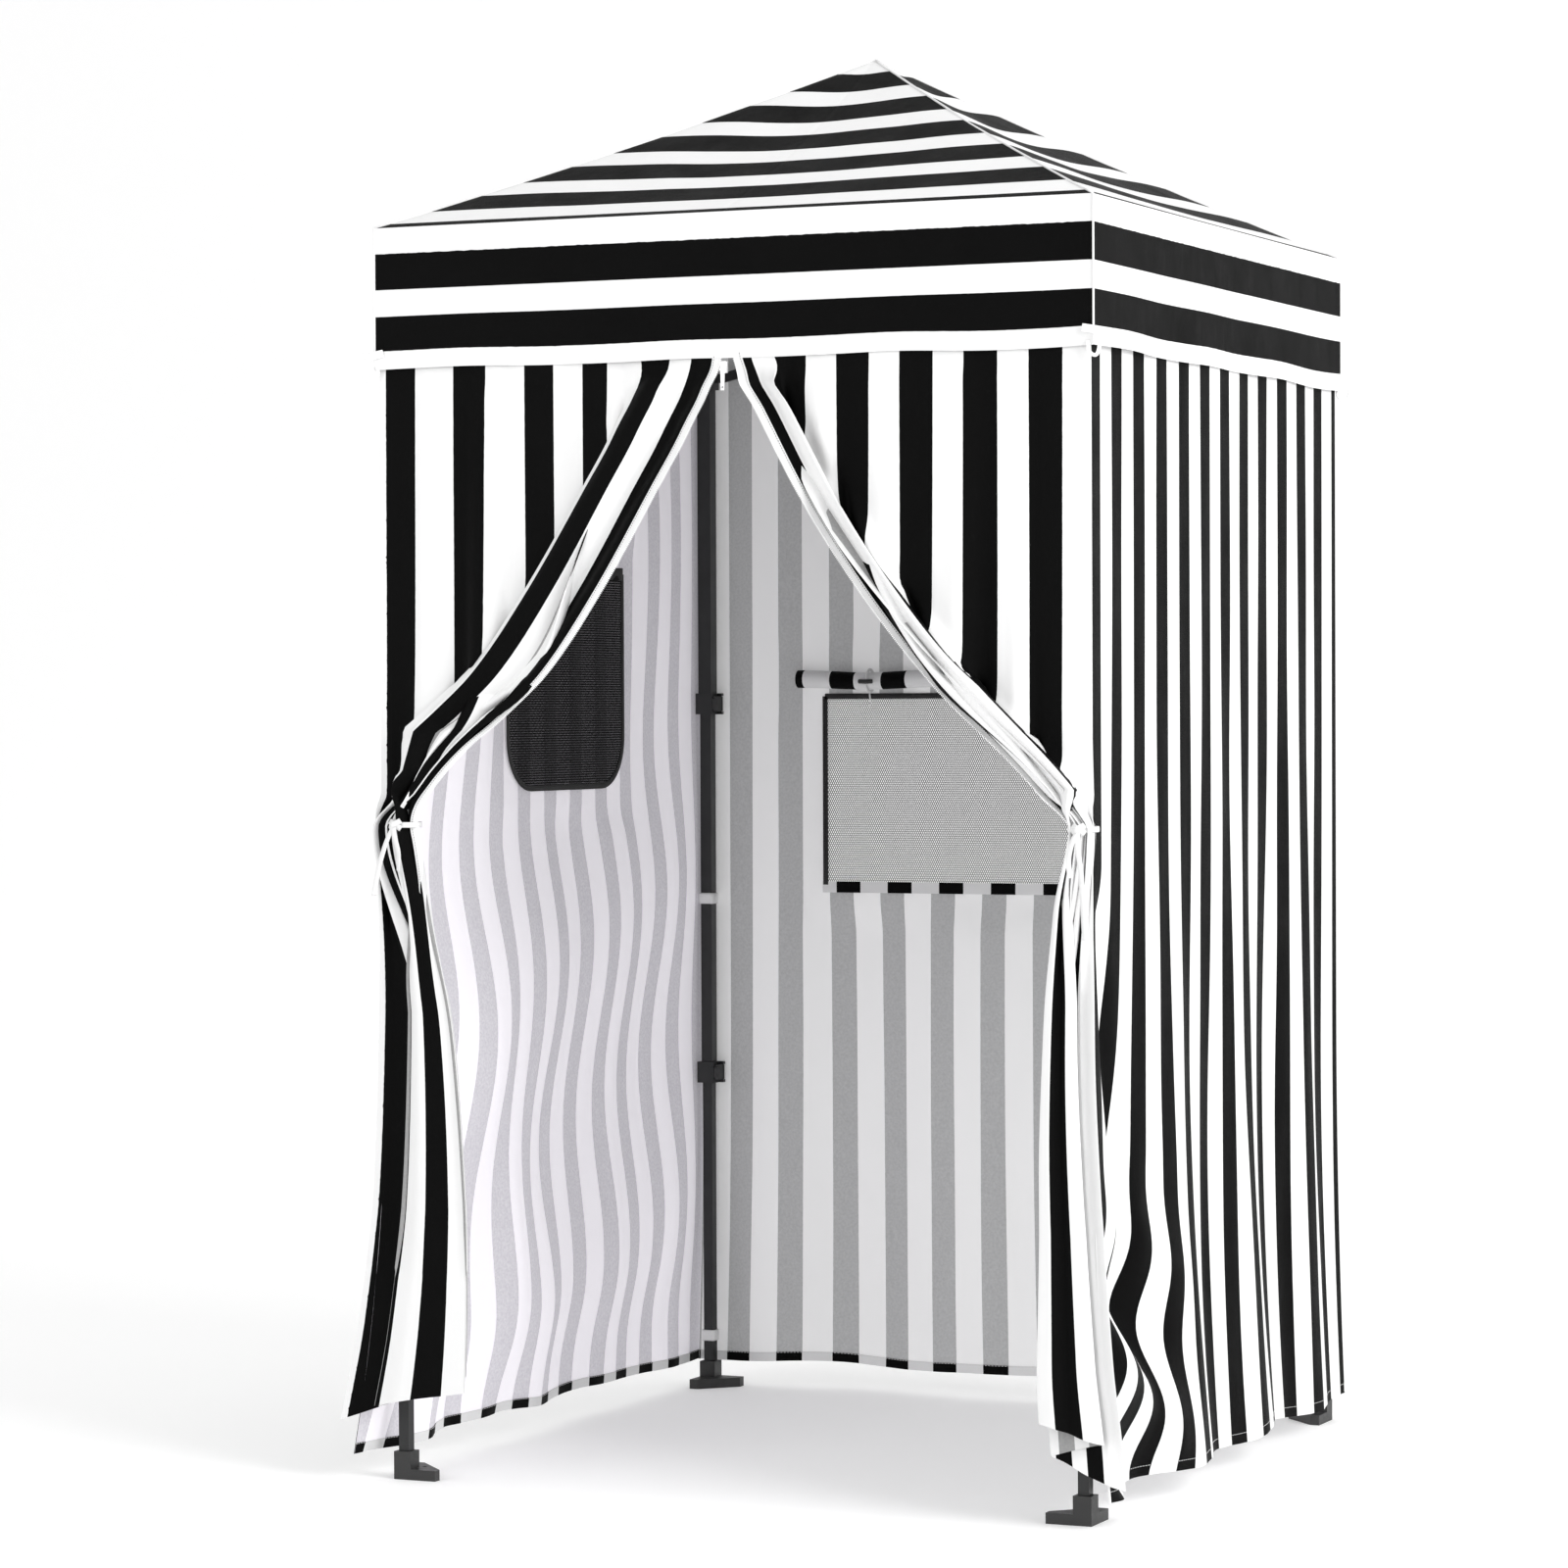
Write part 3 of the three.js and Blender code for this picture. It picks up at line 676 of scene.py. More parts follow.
def dragged(S, Z):
    """The left wall: its lower front part is pushed in and buckles in slanting folds."""
    front = smooth(S, 0.30, 0.98) * (1 - smooth(S, 0.975, 1.0))
    low = smooth(1.05 - Z, 0.0, 0.75)
    slant = np.sin(2 * math.pi * (S * 3.1 - Z * 0.85) + 0.6) + 0.45 * np.sin(2 * math.pi * (S * 6.3 + Z * 1.3) + 1.9)
    free = np.clip(np.minimum(S, 1 - S) * 7, 0, 1)
    sway = (np.sin(2 * math.pi * (Z / 0.60 + S * 0.55) + 0.8)
            * (0.004 + 0.013 * smooth(1.45 - Z, 0.0, 0.6)) * smooth(Z, 0.05, 0.25))
    return (0.021 * slant - 0.010) * front * low + (sway - 0.008) * free * smooth(1.92 - Z, 0, 0.2)


def swirled(S, Z):
    """The right wall: the slack at its lower front corner piles up in S-shaped folds."""
    near = smooth(S, 0.0, 0.05) * (1 - smooth(S, 0.12, 0.36))
    low = smooth(0.56 - Z, 0.0, 0.34)
    curl = np.sin(2 * math.pi * ((Z - 0.045) / 0.26 + S * 2.3) + 2.3)
    drape = (np.sin(2 * math.pi * (S * 3.6 + Z * 0.16) + 0.9) * smooth(1.25 - Z, 0.0, 1.0)
             * np.clip(np.minimum(S, 1 - S) * 7, 0, 1))
    line = 0.03 + 0.145 * (0.95 - Z) / 0.70                # a crease that runs down and back from the tie
    crease = np.exp(-((S - line) / 0.030) ** 2) * smooth(1.0 - Z, 0, 0.15) * smooth(Z, 0.10, 0.35) * smooth(S, 0, 0.05)
    return 0.028 * curl * near * low + 0.0125 * drape - 0.004 * near - 0.022 * crease


def none(S, Z):
    return 0.0


SWELL = {"left": dragged, "right": swirled, "back": none}


wall_rows = np.linspace(EAVE - 0.014, HEM, 190)
edges = np.linspace(0, 1, 201)
walls = {}
for side, seed, inside, body in (("left", 41, INSIDE_LEFT_PAINTED_GLOW, "leg_fl"), ("right", 52, INSIDE_BACK_PAINTED_GLOW, "leg_fr")):
    pts, S, Z = wall_points(side, edges, wall_rows, seed, SWELL[side])
    stripes = (S * 2 * HALF - 0.004) / PERIOD
    walls[side] = panel("wall_cloth_" + side, pts, stripes, Z, OUTSIDE, inside, flip=True)
    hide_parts("wall_" + side)
    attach(walls[side], body)

# %% [markdown]
# The back wall is the same, with an opening for the net window. Its grid has a line of
# points on each edge of the opening, so leaving out the cells between them cuts it clean.

# %% Back wall
win_low, win_high = (Vector(c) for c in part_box("window_mesh"))
W0, W1, Z0, Z1 = win_low.x, win_high.x, win_low.z, win_high.z
share = lambda x: 0.5 - x / (2 * WALL)       # the back wall runs from +X to -X
back_cols = np.unique(np.round(np.concatenate([np.linspace(0, 1, 151), [share(W0), share(W1)]]), 6))
back_rows = np.unique(np.round(np.concatenate([wall_rows, [Z0, Z1]]), 6))[::-1]
pts, S, Z = wall_points("back", back_cols, back_rows, 63, none)
mid_s, mid_z = (back_cols[1:] + back_cols[:-1]) / 2, (back_rows[1:] + back_rows[:-1]) / 2
MS, MZ = np.meshgrid(mid_s, mid_z, indexing="xy")
hole = (MS > share(W1)) & (MS < share(W0)) & (MZ > Z0) & (MZ < Z1)
walls["back"] = panel("wall_cloth_back", pts, (S * 2 * HALF - 0.02) / PERIOD, Z, OUTSIDE, INSIDE_BACK_PAINTED_GLOW,
                      flip=True, keep=~hole)
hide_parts("wall_back")
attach(walls["back"], "leg_bl")
print("walls:", sorted(walls), "window", round(W1 - W0, 3), "by", round(Z1 - Z0, 3))

# %% [markdown]
# ## Door
# The door is two widths of cloth that zip together in the middle. Each half hangs from the
# front eave along its whole width, is swept aside to a tie on its leg, and falls from there
# to the ground. Above the tie the cloth beside the leg hangs straight down, and only the
# part that the tie pulls on turns along the free edge, where it is gathered in a slanting
# bundle. Below the tie the cloth opens like a cone: a straight strip hangs by the leg, then
# come a back, a middle and a front layer, and the free edge is turned under. A good third
# of its width faces outward, so its stripes look wide. Where it is gathered it stands in
# small pleats, whose depth follows from the arc length a sine needs, so the cloth keeps
# most of its real width all the way down.

# %% Door halves
FLAT = 0.60
TIE = 1.05
PROFILE = {  # height: outer edge and free edge, both from the middle of the tent, as positive numbers
    "left": [(0.045, 0.676, 0.430), (0.10, 0.668, 0.430), (0.25, 0.644, 0.432), (0.52, 0.618, 0.444),
             (0.72, 0.610, 0.462),
             (0.92, 0.606, 0.506), (1.03, 0.605, 0.531), (1.05, 0.605, 0.534), (1.064, 0.605, 0.531),
             (1.12, 0.604, 0.490),
             (1.17, 0.604, 0.440), (1.23, 0.604, 0.366), (1.29, 0.604, 0.300), (1.41, 0.604, 0.210),
             (1.568, 0.604, 0.111),
             (1.68, 0.604, 0.045), (1.78, 0.604, 0.009), (1.99, 0.604, 0.004)],
    "right": [(0.045, 0.668, 0.546), (0.12, 0.660, 0.536), (0.25, 0.640, 0.526), (0.52, 0.616, 0.526),
              (0.72, 0.608, 0.533),
              (0.92, 0.607, 0.549), (1.03, 0.612, 0.575), (1.05, 0.613, 0.578), (1.062, 0.612, 0.572),
              (1.10, 0.608, 0.535),
              (1.15, 0.606, 0.486), (1.26, 0.604, 0.368), (1.42, 0.604, 0.235), (1.563, 0.604, 0.140),
              (1.69, 0.604, 0.071),
              (1.78, 0.604, 0.022), (1.99, 0.604, 0.006)],
}


def even_curve(x, xs, ys):
    """A smooth curve through the given heights, without overshoot."""
    xs, ys = np.array(xs), np.array(ys)
    slope = np.diff(ys) / np.diff(xs)
    m = np.concatenate([[slope[0]], np.where(slope[1:] * slope[:-1] > 0,
                        2 * slope[1:] * slope[:-1] / np.where(slope[1:] + slope[:-1] == 0, 1,
                                                              slope[1:] + slope[:-1]), 0), [slope[-1]]])
    k = np.clip(np.searchsorted(xs, x, "right") - 1, 0, len(xs) - 2)
    h = xs[k + 1] - xs[k]
    t = np.clip((x - xs[k]) / h, 0, 1)
    return ((2 * t**3 - 3 * t**2 + 1) * ys[k] + (t**3 - 2 * t**2 + t) * h * m[k]
            + (-2 * t**3 + 3 * t**2) * ys[k + 1] + (t**3 - t**2) * h * m[k + 1])


def round_tent(q, share=0.22):
    """Up to 1 and back to 0 as q goes from 0 to 1, with a rounded top."""
    return (1 - np.sqrt((2 * q - 1) ** 2 + share**2)) / (1 - share) + share * 0.02


def swept(run, width, bundle, front):
    """Where cloth lands above the tie: straight down by the leg, folded under, then along the edge."""
    still = width - bundle
    hidden = np.maximum(FLAT - front - still, 1e-4)
    q = np.clip((run - still) / hidden, 0, 1)
    reach = np.minimum(hidden / 2, np.maximum(bundle - 0.014, bundle * 0.5))
    under = still + reach * np.clip(round_tent(q), 0, 1)
    over = width - (FLAT - run) * bundle / front
    tucked = smooth(hidden, 0.004, 0.03)
    x = np.where(run < still, run, np.where(run > FLAT - front, over, under * tucked + still * (1 - tucked)))
    layer = (smooth(q, 0.35, 0.65) + smooth(q, 0.82, 1.0)) * tucked
    return x / width, layer


def layered(run, width, strip, front_run):
    """Where cloth lands below the tie: a strip by the leg, back, middle and front layers, and an edge turned under."""
    first, last = front_run
    marks = (0, strip, (strip + first) / 2, first, last, FLAT)
    beside = np.minimum(strip, width * 0.45)
    turned = np.minimum(FLAT - last, width * 0.6)
    ends = (0 * width, beside, width - 0.010, beside - 0.002, width, width - turned)
    depths = (0.0, 0.0, 0.4, 1.6, 2.2, 1.1)
    steps = ((0, 1), (0, 1), (0.80, 1), (0, 0.3), (0, 0.35))     # each layer lies flat and drops away near its fold
    x, layer = np.zeros_like(run), np.zeros_like(run)
    for k in range(5):
        t = np.clip((run - marks[k]) / (marks[k + 1] - marks[k]), 0, 1)
        x += (ends[k + 1] - ends[k]) * t
        layer += (depths[k + 1] - depths[k]) * smooth(t, *steps[k])
    return x / width, layer


def door_half(name, sign, seed, bundle, pleats, strip, front_run, hem, bands):
    cols, rows = 228, 212
    U, V = np.meshgrid(np.linspace(0, 1, cols), np.linspace(0, 1, rows), indexing="xy")
    top = EAVE - 0.014
    marks = (0, strip, (strip + front_run[0]) / 2, front_run[0], front_run[1], FLAT)
    bottom = np.interp(U * FLAT, marks, hem) + 0.003 * ripples(U * 2, V * 0, seed + 3, 0.3, 0.9)
    Z = top + (bottom - top) * V
    zs, outer, free = zip(*PROFILE[name])
    X0, X1 = even_curve(Z, zs, outer), even_curve(Z, zs, free)
    width = np.abs(X0 - X1)
    above = smooth(Z, TIE - 0.005, TIE + 0.05)
    opened = smooth(TIE - 0.015 - Z, 0, 0.26)
    across, layer = layered(U * FLAT, width, strip, front_run)
    lap = np.minimum(bundle, np.maximum(0.52 * width, width - strip))
    lap = np.minimum(lap, np.maximum(width - strip * 0.7, 0.45 * width))
    high, upper_layer = swept(U * FLAT, width, lap, np.clip(2.4 * lap, lap, 0.150 * bundle / 0.14 + 0.01))
    along = U * (1 - above) + high * above
    along = calm(along.T, 6).T
    step = np.abs(np.gradient(along, axis=1) / np.gradient(U, axis=1)) * width
    step = np.maximum(step, FLAT * 0.5 * smooth(Z, TIE + 0.10, TIE + 0.30))     # the hidden folds lie flat
    gather = np.clip(FLAT / np.maximum(step, 1e-4), 1.0, 14.0)
    depth = np.minimum(FLAT / gather / pleats * np.sqrt((gather**2 - 1) * 2) / (2 * math.pi), 0.020)
    fan = np.clip(FLAT / 3 / width, 1.0, 2.6)
    depth_low = np.minimum(FLAT / 3 / fan / 2.2 * np.sqrt((fan**2 - 1) * 2) / (2 * math.pi), 0.0070)
    depth = calm((depth * (1 - opened) + depth_low * opened).T, 16).T
    drift = ripples(U * 0.9, V * 1.2, seed, 0.6, 1.6) * 0.8
    phase = 2 * math.pi * pleats * (U + 0.03 * np.sin(2 * math.pi * U * 1.3 + seed)) + drift + seed
    fold = np.sin(phase) + 0.25 * np.sin(2 * phase + 0.7)
    edge = smooth(U, 0, 0.05) * (0.25 + 0.75 * smooth(1 - U, 0, 0.10))
    loose = smooth(V, 0.10, 0.5) * (1 - 0.6 * opened)
    soft = ripples(U * FLAT * 1.3, (1 - V) * 0.45, seed + 7, 0.12, 0.40, lean=0.3) * 0.0050 * loose
    crease = ripples(U * FLAT * 1.3, (1 - V) * 0.9, seed + 8, 0.05, 0.16, lean=0.5) * 0.0012 * loose
    middle = (U * FLAT > strip) * (U * FLAT < front_run[0]) * opened
    middle = calm(middle.T, 8).T
    wave = (depth * fold + soft + crease) * edge * (1 - 0.85 * middle) * (1 - 0.5 * opened)
    shift = np.minimum(width / pleats * 0.46, 0.016) * np.cos(phase) * smooth(gather, 1.3, 3.5) * edge * (1 - opened)
    along = along * (1 - opened) + across * opened
    along = calm(along.T, 3).T
    gap = 0.0125 * opened
    room = depth_low * opened * 0.7
    front = np.maximum(lean_out(Z) - 0.001, 0.6035 + calm(depth.T, 30).T * 1.05 * (1 - opened) + room)
    front = front * (1 - opened) + np.minimum(front, 0.640) * opened
    x = sign * (X0 - (X0 - X1) * along + shift)
    y = -(front + wave + gap * layer + 0.0050 * upper_layer * above + 0.001)
    y = np.clip(y, -0.688, -0.6005)
    behind = smooth(Z, HANG - 0.05, HANG - 0.01)        # the valance hangs in front of the top
    y = y * (1 - behind) + np.clip(y, -0.6062, -0.6005) * behind
    stripe = stripe_count(U * FLAT, bands)
    points = np.stack([x, y, Z], -1)
    sheet = panel("door_cloth_" + name, points, stripe, (1 - V) * 1.9, OUTSIDE, INSIDE_DOOR_PAINTED_SHADE_GLOW, flip=sign < 0)
    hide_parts("door_" + name)
    body = "leg_fl" if sign < 0 else "leg_fr"
    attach(sheet, body)
    return sheet, points


EVEN = [(0.045 + 0.105 * k, 0.045 + 0.105 * k + 0.055) for k in range(-1, 6)]
# The left half's print is wider by the leg than at the zip.
UNEVEN = [(0.012, 0.064), (0.132, 0.190), (0.258, 0.309), (0.360, 0.404), (0.456, 0.506), (0.548, 0.592)]
doors = {"left": door_half("left", -1, 3.1, 0.140, 6, 0.064, (0.392, 0.548),
                           (0.098, 0.120, 0.175, 0.122, 0.158, 0.175), UNEVEN),
         "right": door_half("right", 1, 5.4, 0.060, 6, 0.022, (0.425, 0.560),
                            (0.064, 0.070, 0.110, 0.134, 0.160, 0.175), EVEN)}
print("door halves:", {k: len(v[0].data.polygons) for k, v in doors.items()})

# %% [markdown]
# The zip runs down the free edge of each half. A white tape is sewn along the edge, and its
# teeth stand on the tape's lip. The tape is a narrow panel that copies the last few columns
# of the door cloth and stands a millimetre proud of it.

# %% Zip tapes and teeth
def edge_frame(points, column=-1, inner=-8):
    """A door half's edge path, the direction out of the cloth's edge, and its outward normal."""
    path = points[:, column]
    out = path - points[:, inner]
    out /= np.maximum(np.linalg.norm(out, axis=1, keepdims=True), 1e-9)
    down = np.gradient(path, axis=0)
    down /= np.maximum(np.linalg.norm(down, axis=1, keepdims=True), 1e-9)
    normal = np.cross(down, out)
    normal *= np.sign(-normal[:, 1:2] + 1e-9)
    return path, out, normal


zip_teeth = {}
for name, (sheet, points) in doors.items():
    sign = -1 if name == "left" else 1
    path, out, normal = edge_frame(points)
    out, normal = calm(out), calm(normal)
    out /= np.linalg.norm(out, axis=1, keepdims=True)
    normal /= np.linalg.norm(normal, axis=1, keepdims=True)
    below = path[:, 2] < HANG + 0.01
    path, out, normal = path[below], out[below], normal[below]
    tape_grid = np.stack([path + out * w + normal * 0.0012 for w in np.linspace(-0.009, 0.005, 5)], axis=1)
    length = np.linspace(0, 1.7, len(path))[:, None]
    tape = panel("zip_tape_" + name, tape_grid, length, np.linspace(-0.007, 0.007, 5)[None, :], WHITE_TAPE, WHITE_TAPE,
                 flip=sign < 0, thickness=0.0009, offset=0.0)
    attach(tape, "leg_fl" if sign < 0 else "leg_fr")
    teeth = beads("zip_teeth_" + name, [path + out * 0.0058 + normal * 0.0014], 0.0030, 0.0018, 0.0034, 0.0030,
                  WHITE_NYLON)
    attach(teeth, "leg_fl" if sign < 0 else "leg_fr")
    stitch = beads("zip_stitches_" + name, [path - out * 0.006 + normal * 0.0026], 0.0042, 0.0030, 0.0009, 0.0008,
                   DARK_THREAD)
    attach(stitch, "leg_fl" if sign < 0 else "leg_fr")
    zip_teeth[name] = (tape, teeth, stitch)

# %% [markdown]
# Each half is tied back to its leg with a pair of white tapes. They go once round the
# gathered cloth and end in a bow's two hanging tails. The loop is a closed ribbon, the knot
# a few crossed turns of the same tape, and the tails hang by their own weight.

# %% Ties
def ring(cx, cy, z, rx, ry, count=40, tilt=0.0, power=2.6):
    a = np.linspace(0, 2 * math.pi, count)
    c, s = np.cos(a), np.sin(a)
    x = cx + rx * np.sign(c) * np.abs(c) ** (2 / power)
    y = cy + ry * np.sign(s) * np.abs(s) ** (2 / power)
    return np.stack([x, y, z + tilt * c], -1)


def joined(name, pieces):
    """Joins several objects into one mesh that keeps their materials and maps."""
    for piece in pieces:
        bake(piece)
    with bpy.context.temp_override(active_object=pieces[0], object=pieces[0], selected_objects=pieces,
                                   selected_editable_objects=pieces):
        bpy.ops.object.join()
    pieces[0].name = name
    pieces[0].data.name = name
    return pieces[0]


tie_pieces = []
for name, sign, cx, rx, knot in (("left", -1, 0.552, 0.0215, (0.556, -0.649)),
                                 ("right", 1, 0.5955, 0.0215, (0.599, -0.649))):
    centre = sign * cx
    around = ring(centre, -0.621, TIE, rx, 0.027)
    loop = ribbon("loop", around, 0.0014, 0.009, (0, 0, 1), WHITE_TAPE, closed=True, straight=True)
    kx, ky = sign * knot[0], knot[1] - 0.003
    turn_a = ribbon("turn_a", [(kx - 0.010, ky + 0.002, TIE + 0.006), (kx, ky - 0.006, TIE + 0.002),
                               (kx + 0.010, ky + 0.002, TIE - 0.006)],
                    0.009, 0.0016, (0, -1, 0.2), WHITE_TAPE, count=14)
    turn_b = ribbon("turn_b", [(kx + 0.010, ky + 0.001, TIE + 0.007), (kx, ky - 0.009, TIE),
                               (kx - 0.009, ky + 0.001, TIE - 0.007)],
                    0.009, 0.0016, (0, -1, 0.1), WHITE_TAPE, count=14)
    long = 0.165 if sign > 0 else 0.112
    lean = 0.012 if sign > 0 else 0.034
    tail_a = ribbon("tail_a", [(kx, ky - 0.005, TIE - 0.002), (kx + sign * lean * 0.3, ky - 0.012, TIE - 0.030),
                               (kx + sign * lean * 0.7, ky - 0.011, TIE - 0.070),
                               (kx + sign * lean, ky - 0.008, TIE - long)],
                    0.008, 0.0013, (0.2 * sign, -1, 0), WHITE_TAPE, count=40, twist=0.5 * sign)
    tail_b = ribbon("tail_b", [(kx, ky - 0.006, TIE - 0.003), (kx - sign * 0.006, ky - 0.011, TIE - 0.020),
                               (kx - sign * 0.012, ky - 0.010, TIE - 0.045),
                               (kx - sign * 0.010, ky - 0.008, TIE - 0.072)],
                    0.008, 0.0013, (-0.3 * sign, -1, 0), WHITE_TAPE, count=40, twist=-0.8 * sign)
    tie = joined("tie_" + name, [loop, turn_a, turn_b, tail_a, tail_b])
    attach(tie, "leg_fl" if sign < 0 else "leg_fr")
    tie_pieces.append((tie, sign))
print("ties:", [t.name for t, _ in tie_pieces])

# %% [markdown]
# ## Window
# The window is a sheet of grey net bound with black tape, sewn into the back wall. Its
# flap is rolled up above it and held by white elastic loops with a black toggle. A roll is
# a spiral, so its ends show the turns; the stripes of the cloth become bands along it.

# %% Window net and binding
yw = (win_low.y + win_high.y) / 2
net_x, net_z = np.meshgrid(np.linspace(W0, W1, 40), np.linspace(Z1, Z0, 24), indexing="xy")
net_y = yw + 0.0035 * ripples(net_x, net_z, 71, 0.15, 0.5) * np.clip(np.minimum(net_x - W0, W1 - net_x) * 20, 0, 1)
window = panel("window_net", np.stack([net_x, net_y, net_z], -1), net_x, net_z, WINDOW_NET, WINDOW_NET, thickness=0)
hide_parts("window_mesh")
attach(window, "leg_bl")

inner_face = WALL - 0.0060
frame_path = [(W0, inner_face, Z1), (W1, inner_face, Z1), (W1, inner_face, Z0), (W0, inner_face, Z0),
              (W0, inner_face, Z1)]


def straight_path(corners, step=0.02):
    out = []
    for a, b in zip(corners[:-1], corners[1:]):
        a, b = np.array(a, float), np.array(b, float)
        n = max(2, int(np.linalg.norm(b - a) / step))
        out += [a + (b - a) * i / n for i in range(n)]
    return np.array(out + [np.array(corners[-1], float)])


bindings = []
for k, (a, b) in enumerate(zip(frame_path[:-1], frame_path[1:])):
    if k == 2:
        continue
    bindings.append(ribbon("binding%d" % k, straight_path([a, b]), 0.010, 0.0022, (0, -1, 0), BLACK_TAPE,
                           straight=True))
sill_x, sill_z = np.meshgrid(np.linspace(W0 - 0.006, W1 + 0.006, 60), np.linspace(Z0 + 0.006, Z0 - 0.014, 5),
                             indexing="xy")
sill = panel("window_sill", np.stack([sill_x, np.full_like(sill_x, inner_face), sill_z], -1),
             (sill_x + 3.02) / PERIOD, sill_z,
             OUTSIDE, OUTSIDE, thickness=0.0012, offset=0.0)
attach(sill, "leg_bl")
binding = joined("window_binding", bindings)
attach(binding, "leg_bl")
zip_lines = [straight_path([(x, inner_face - 0.0018, Z1 - 0.01),
                            (x, inner_face - 0.0018, Z0 + 0.01)]) for x in (W0 - 0.001, W1 + 0.001)]
window_zip = beads("window_zip_teeth", zip_lines, 0.0030, 0.0018, 0.0036, 0.0024, BLACK_NYLON)
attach(window_zip, "leg_bl")

# %% Rolled flap
roll_low, roll_high = (Vector(c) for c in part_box("window_roll"))
ry, rz, rr = (roll_low.y + roll_high.y) / 2, (roll_low.z + roll_high.z) / 2, (roll_high.z - roll_low.z) / 2
rx = np.linspace(roll_low.x, roll_high.x, 150)
turns = np.linspace(0, 3.3, 150)
RX, TT = np.meshgrid(rx, turns, indexing="xy")
radius = 0.005 + (rr - 0.0055) * (TT / 3.3) ** 0.9 + 0.0011 * ripples(RX, TT * 0.05, 81, 0.05, 0.25) * TT / 3.3
angle = TT * 2 * math.pi + 0.35
sag = -0.004 * np.sin(np.clip((RX - roll_low.x) / (roll_high.x - roll_low.x), 0, 1) * math.pi * 3) ** 2
pts = np.stack([RX, ry + radius * np.sin(angle), rz + radius * np.cos(angle) + sag], -1)
flap = panel("window_flap_roll", pts, (RX + 3.02) / PERIOD, TT * 0.1, OUTSIDE, INSIDE_BACK_PAINTED_GLOW, thickness=0.0008,
             offset=1.0)
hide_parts("window_roll")
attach(flap, "leg_bl")
elastics, toggles = [], []
for k, ex in enumerate((roll_low.x + 0.14, 0.0, roll_high.x - 0.14)):
    loop = ring(0, 0, 0, rr + 0.0022, rr + 0.0022, power=2.0)
    loop = np.stack([np.full(len(loop), ex), ry + loop[:, 0], rz - 0.003 + loop[:, 1]], -1)
    elastics.append(ribbon("elastic%d" % k, loop, 0.006, 0.0014, (1, 0, 0), WHITE_TAPE, closed=True, straight=True))
    hang = [(ex, ry - 0.004, rz - rr - 0.004), (ex + 0.002, ry - 0.006, rz - rr - 0.016),
            (ex + 0.001, ry - 0.003, rz - rr - 0.030)]
    elastics.append(ribbon("tail%d" % k, hang, 0.003, 0.003, (0, -1, 0), WHITE_TAPE, count=12))
    peg = [(ex - 0.013, ry - 0.0215, rz - 0.004), (ex, ry - 0.0225, rz - 0.0045),
           (ex + 0.013, ry - 0.0215, rz - 0.004)]
    toggles.append(ribbon("toggle%d" % k, peg, 0.008, 0.008, (0, -1, 0), BLACK_NYLON, count=10))
elastic = joined("roll_elastics", elastics)
toggle = joined("roll_toggles", toggles)
for piece in (elastic, toggle):
    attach(piece, "leg_bl")
print("window parts made")

# %% [markdown]
# ## Pocket
# The pocket is black net with bound edges and round lower corners, sewn to the left wall
# inside. It bellies out a little, since nothing is in it. Its outline is one path, used for
# the binding, and the net's edge has the same round corners.

# %% Pocket
poc_low, poc_high = (Vector(c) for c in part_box("mesh_pocket"))
Y0, Y1, P0, P1, px = poc_low.y, poc_high.y, poc_low.z, poc_high.z, poc_high.x
CURVE = 0.085


def pocket_half_width(z):
    low = np.clip((P0 + CURVE - z) / CURVE, 0, 1)
    return (Y1 - Y0) / 2 - CURVE * (1 - np.sqrt(np.maximum(1 - low**2, 0)))


mid_y = (Y0 + Y1) / 2
pv = np.concatenate([np.linspace(P1, P0 + CURVE, 26), P0 + CURVE * (1 - np.sin(np.linspace(0, math.pi / 2, 14)))[1:]])
PU, PZ = np.meshgrid(np.linspace(-1, 1, 50), pv, indexing="xy")
PY = mid_y + PU * pocket_half_width(PZ)
belly = 0.010 * (1 - PU**2) ** 0.7 * np.clip((PZ - P0) / 0.12, 0, 1) + 0.0012 * ripples(PY, PZ, 91, 0.06, 0.2)
belly += 0.0030 * np.sin(PU * 13 + 1.5 * np.sin((PZ - P0) * 7)) * (1 - PU**2) * smooth(PZ, P0, P0 + 0.15)
pocket = panel("pocket_net", np.stack([px + 0.0004 + np.maximum(belly, 0), PY, PZ], -1), PY, PZ, POCKET_NET,
               POCKET_NET, thickness=0)
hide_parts("mesh_pocket")
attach(pocket, "leg_fl")
arc = np.linspace(0, math.pi / 2, 12)
outline = ([(Y0, P1), (Y0, (P1 + P0) / 2)] + [(Y0 + CURVE - CURVE * math.cos(a),
                                               P0 + CURVE - CURVE * math.sin(a)) for a in arc]
           + [(mid_y, P0)] + [(Y1 - CURVE + CURVE * math.sin(a), P0 + CURVE - CURVE * math.cos(a)) for a in arc]
           + [(Y1, (P1 + P0) / 2), (Y1, P1)])
outline = [(px + 0.0015, y, z) for y, z in outline]
edge_tape = ribbon("edge", straight_path(outline, 0.012), 0.010, 0.0018, (1, 0, 0), BLACK_TAPE, straight=True)
top_tape = ribbon("top", [(px + 0.002, Y0, P1), (px + 0.007, mid_y, P1 - 0.002), (px + 0.002, Y1, P1)], 0.022, 0.0022,
                  (1, 0, 0), BLACK_TAPE, count=40)
pocket_tape = joined("pocket_binding", [edge_tape, top_tape])
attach(pocket_tape, "leg_fl")

# %% [markdown]
# ## Seams, straps and loops
# White piping covers the ridges of the roof and the corners of the valance. The walls are
# held to the legs by hook-and-loop straps: a white band round the tube with a short tab to
# the corner seam. At each lower corner of the valance a white plastic loop takes a guy line.

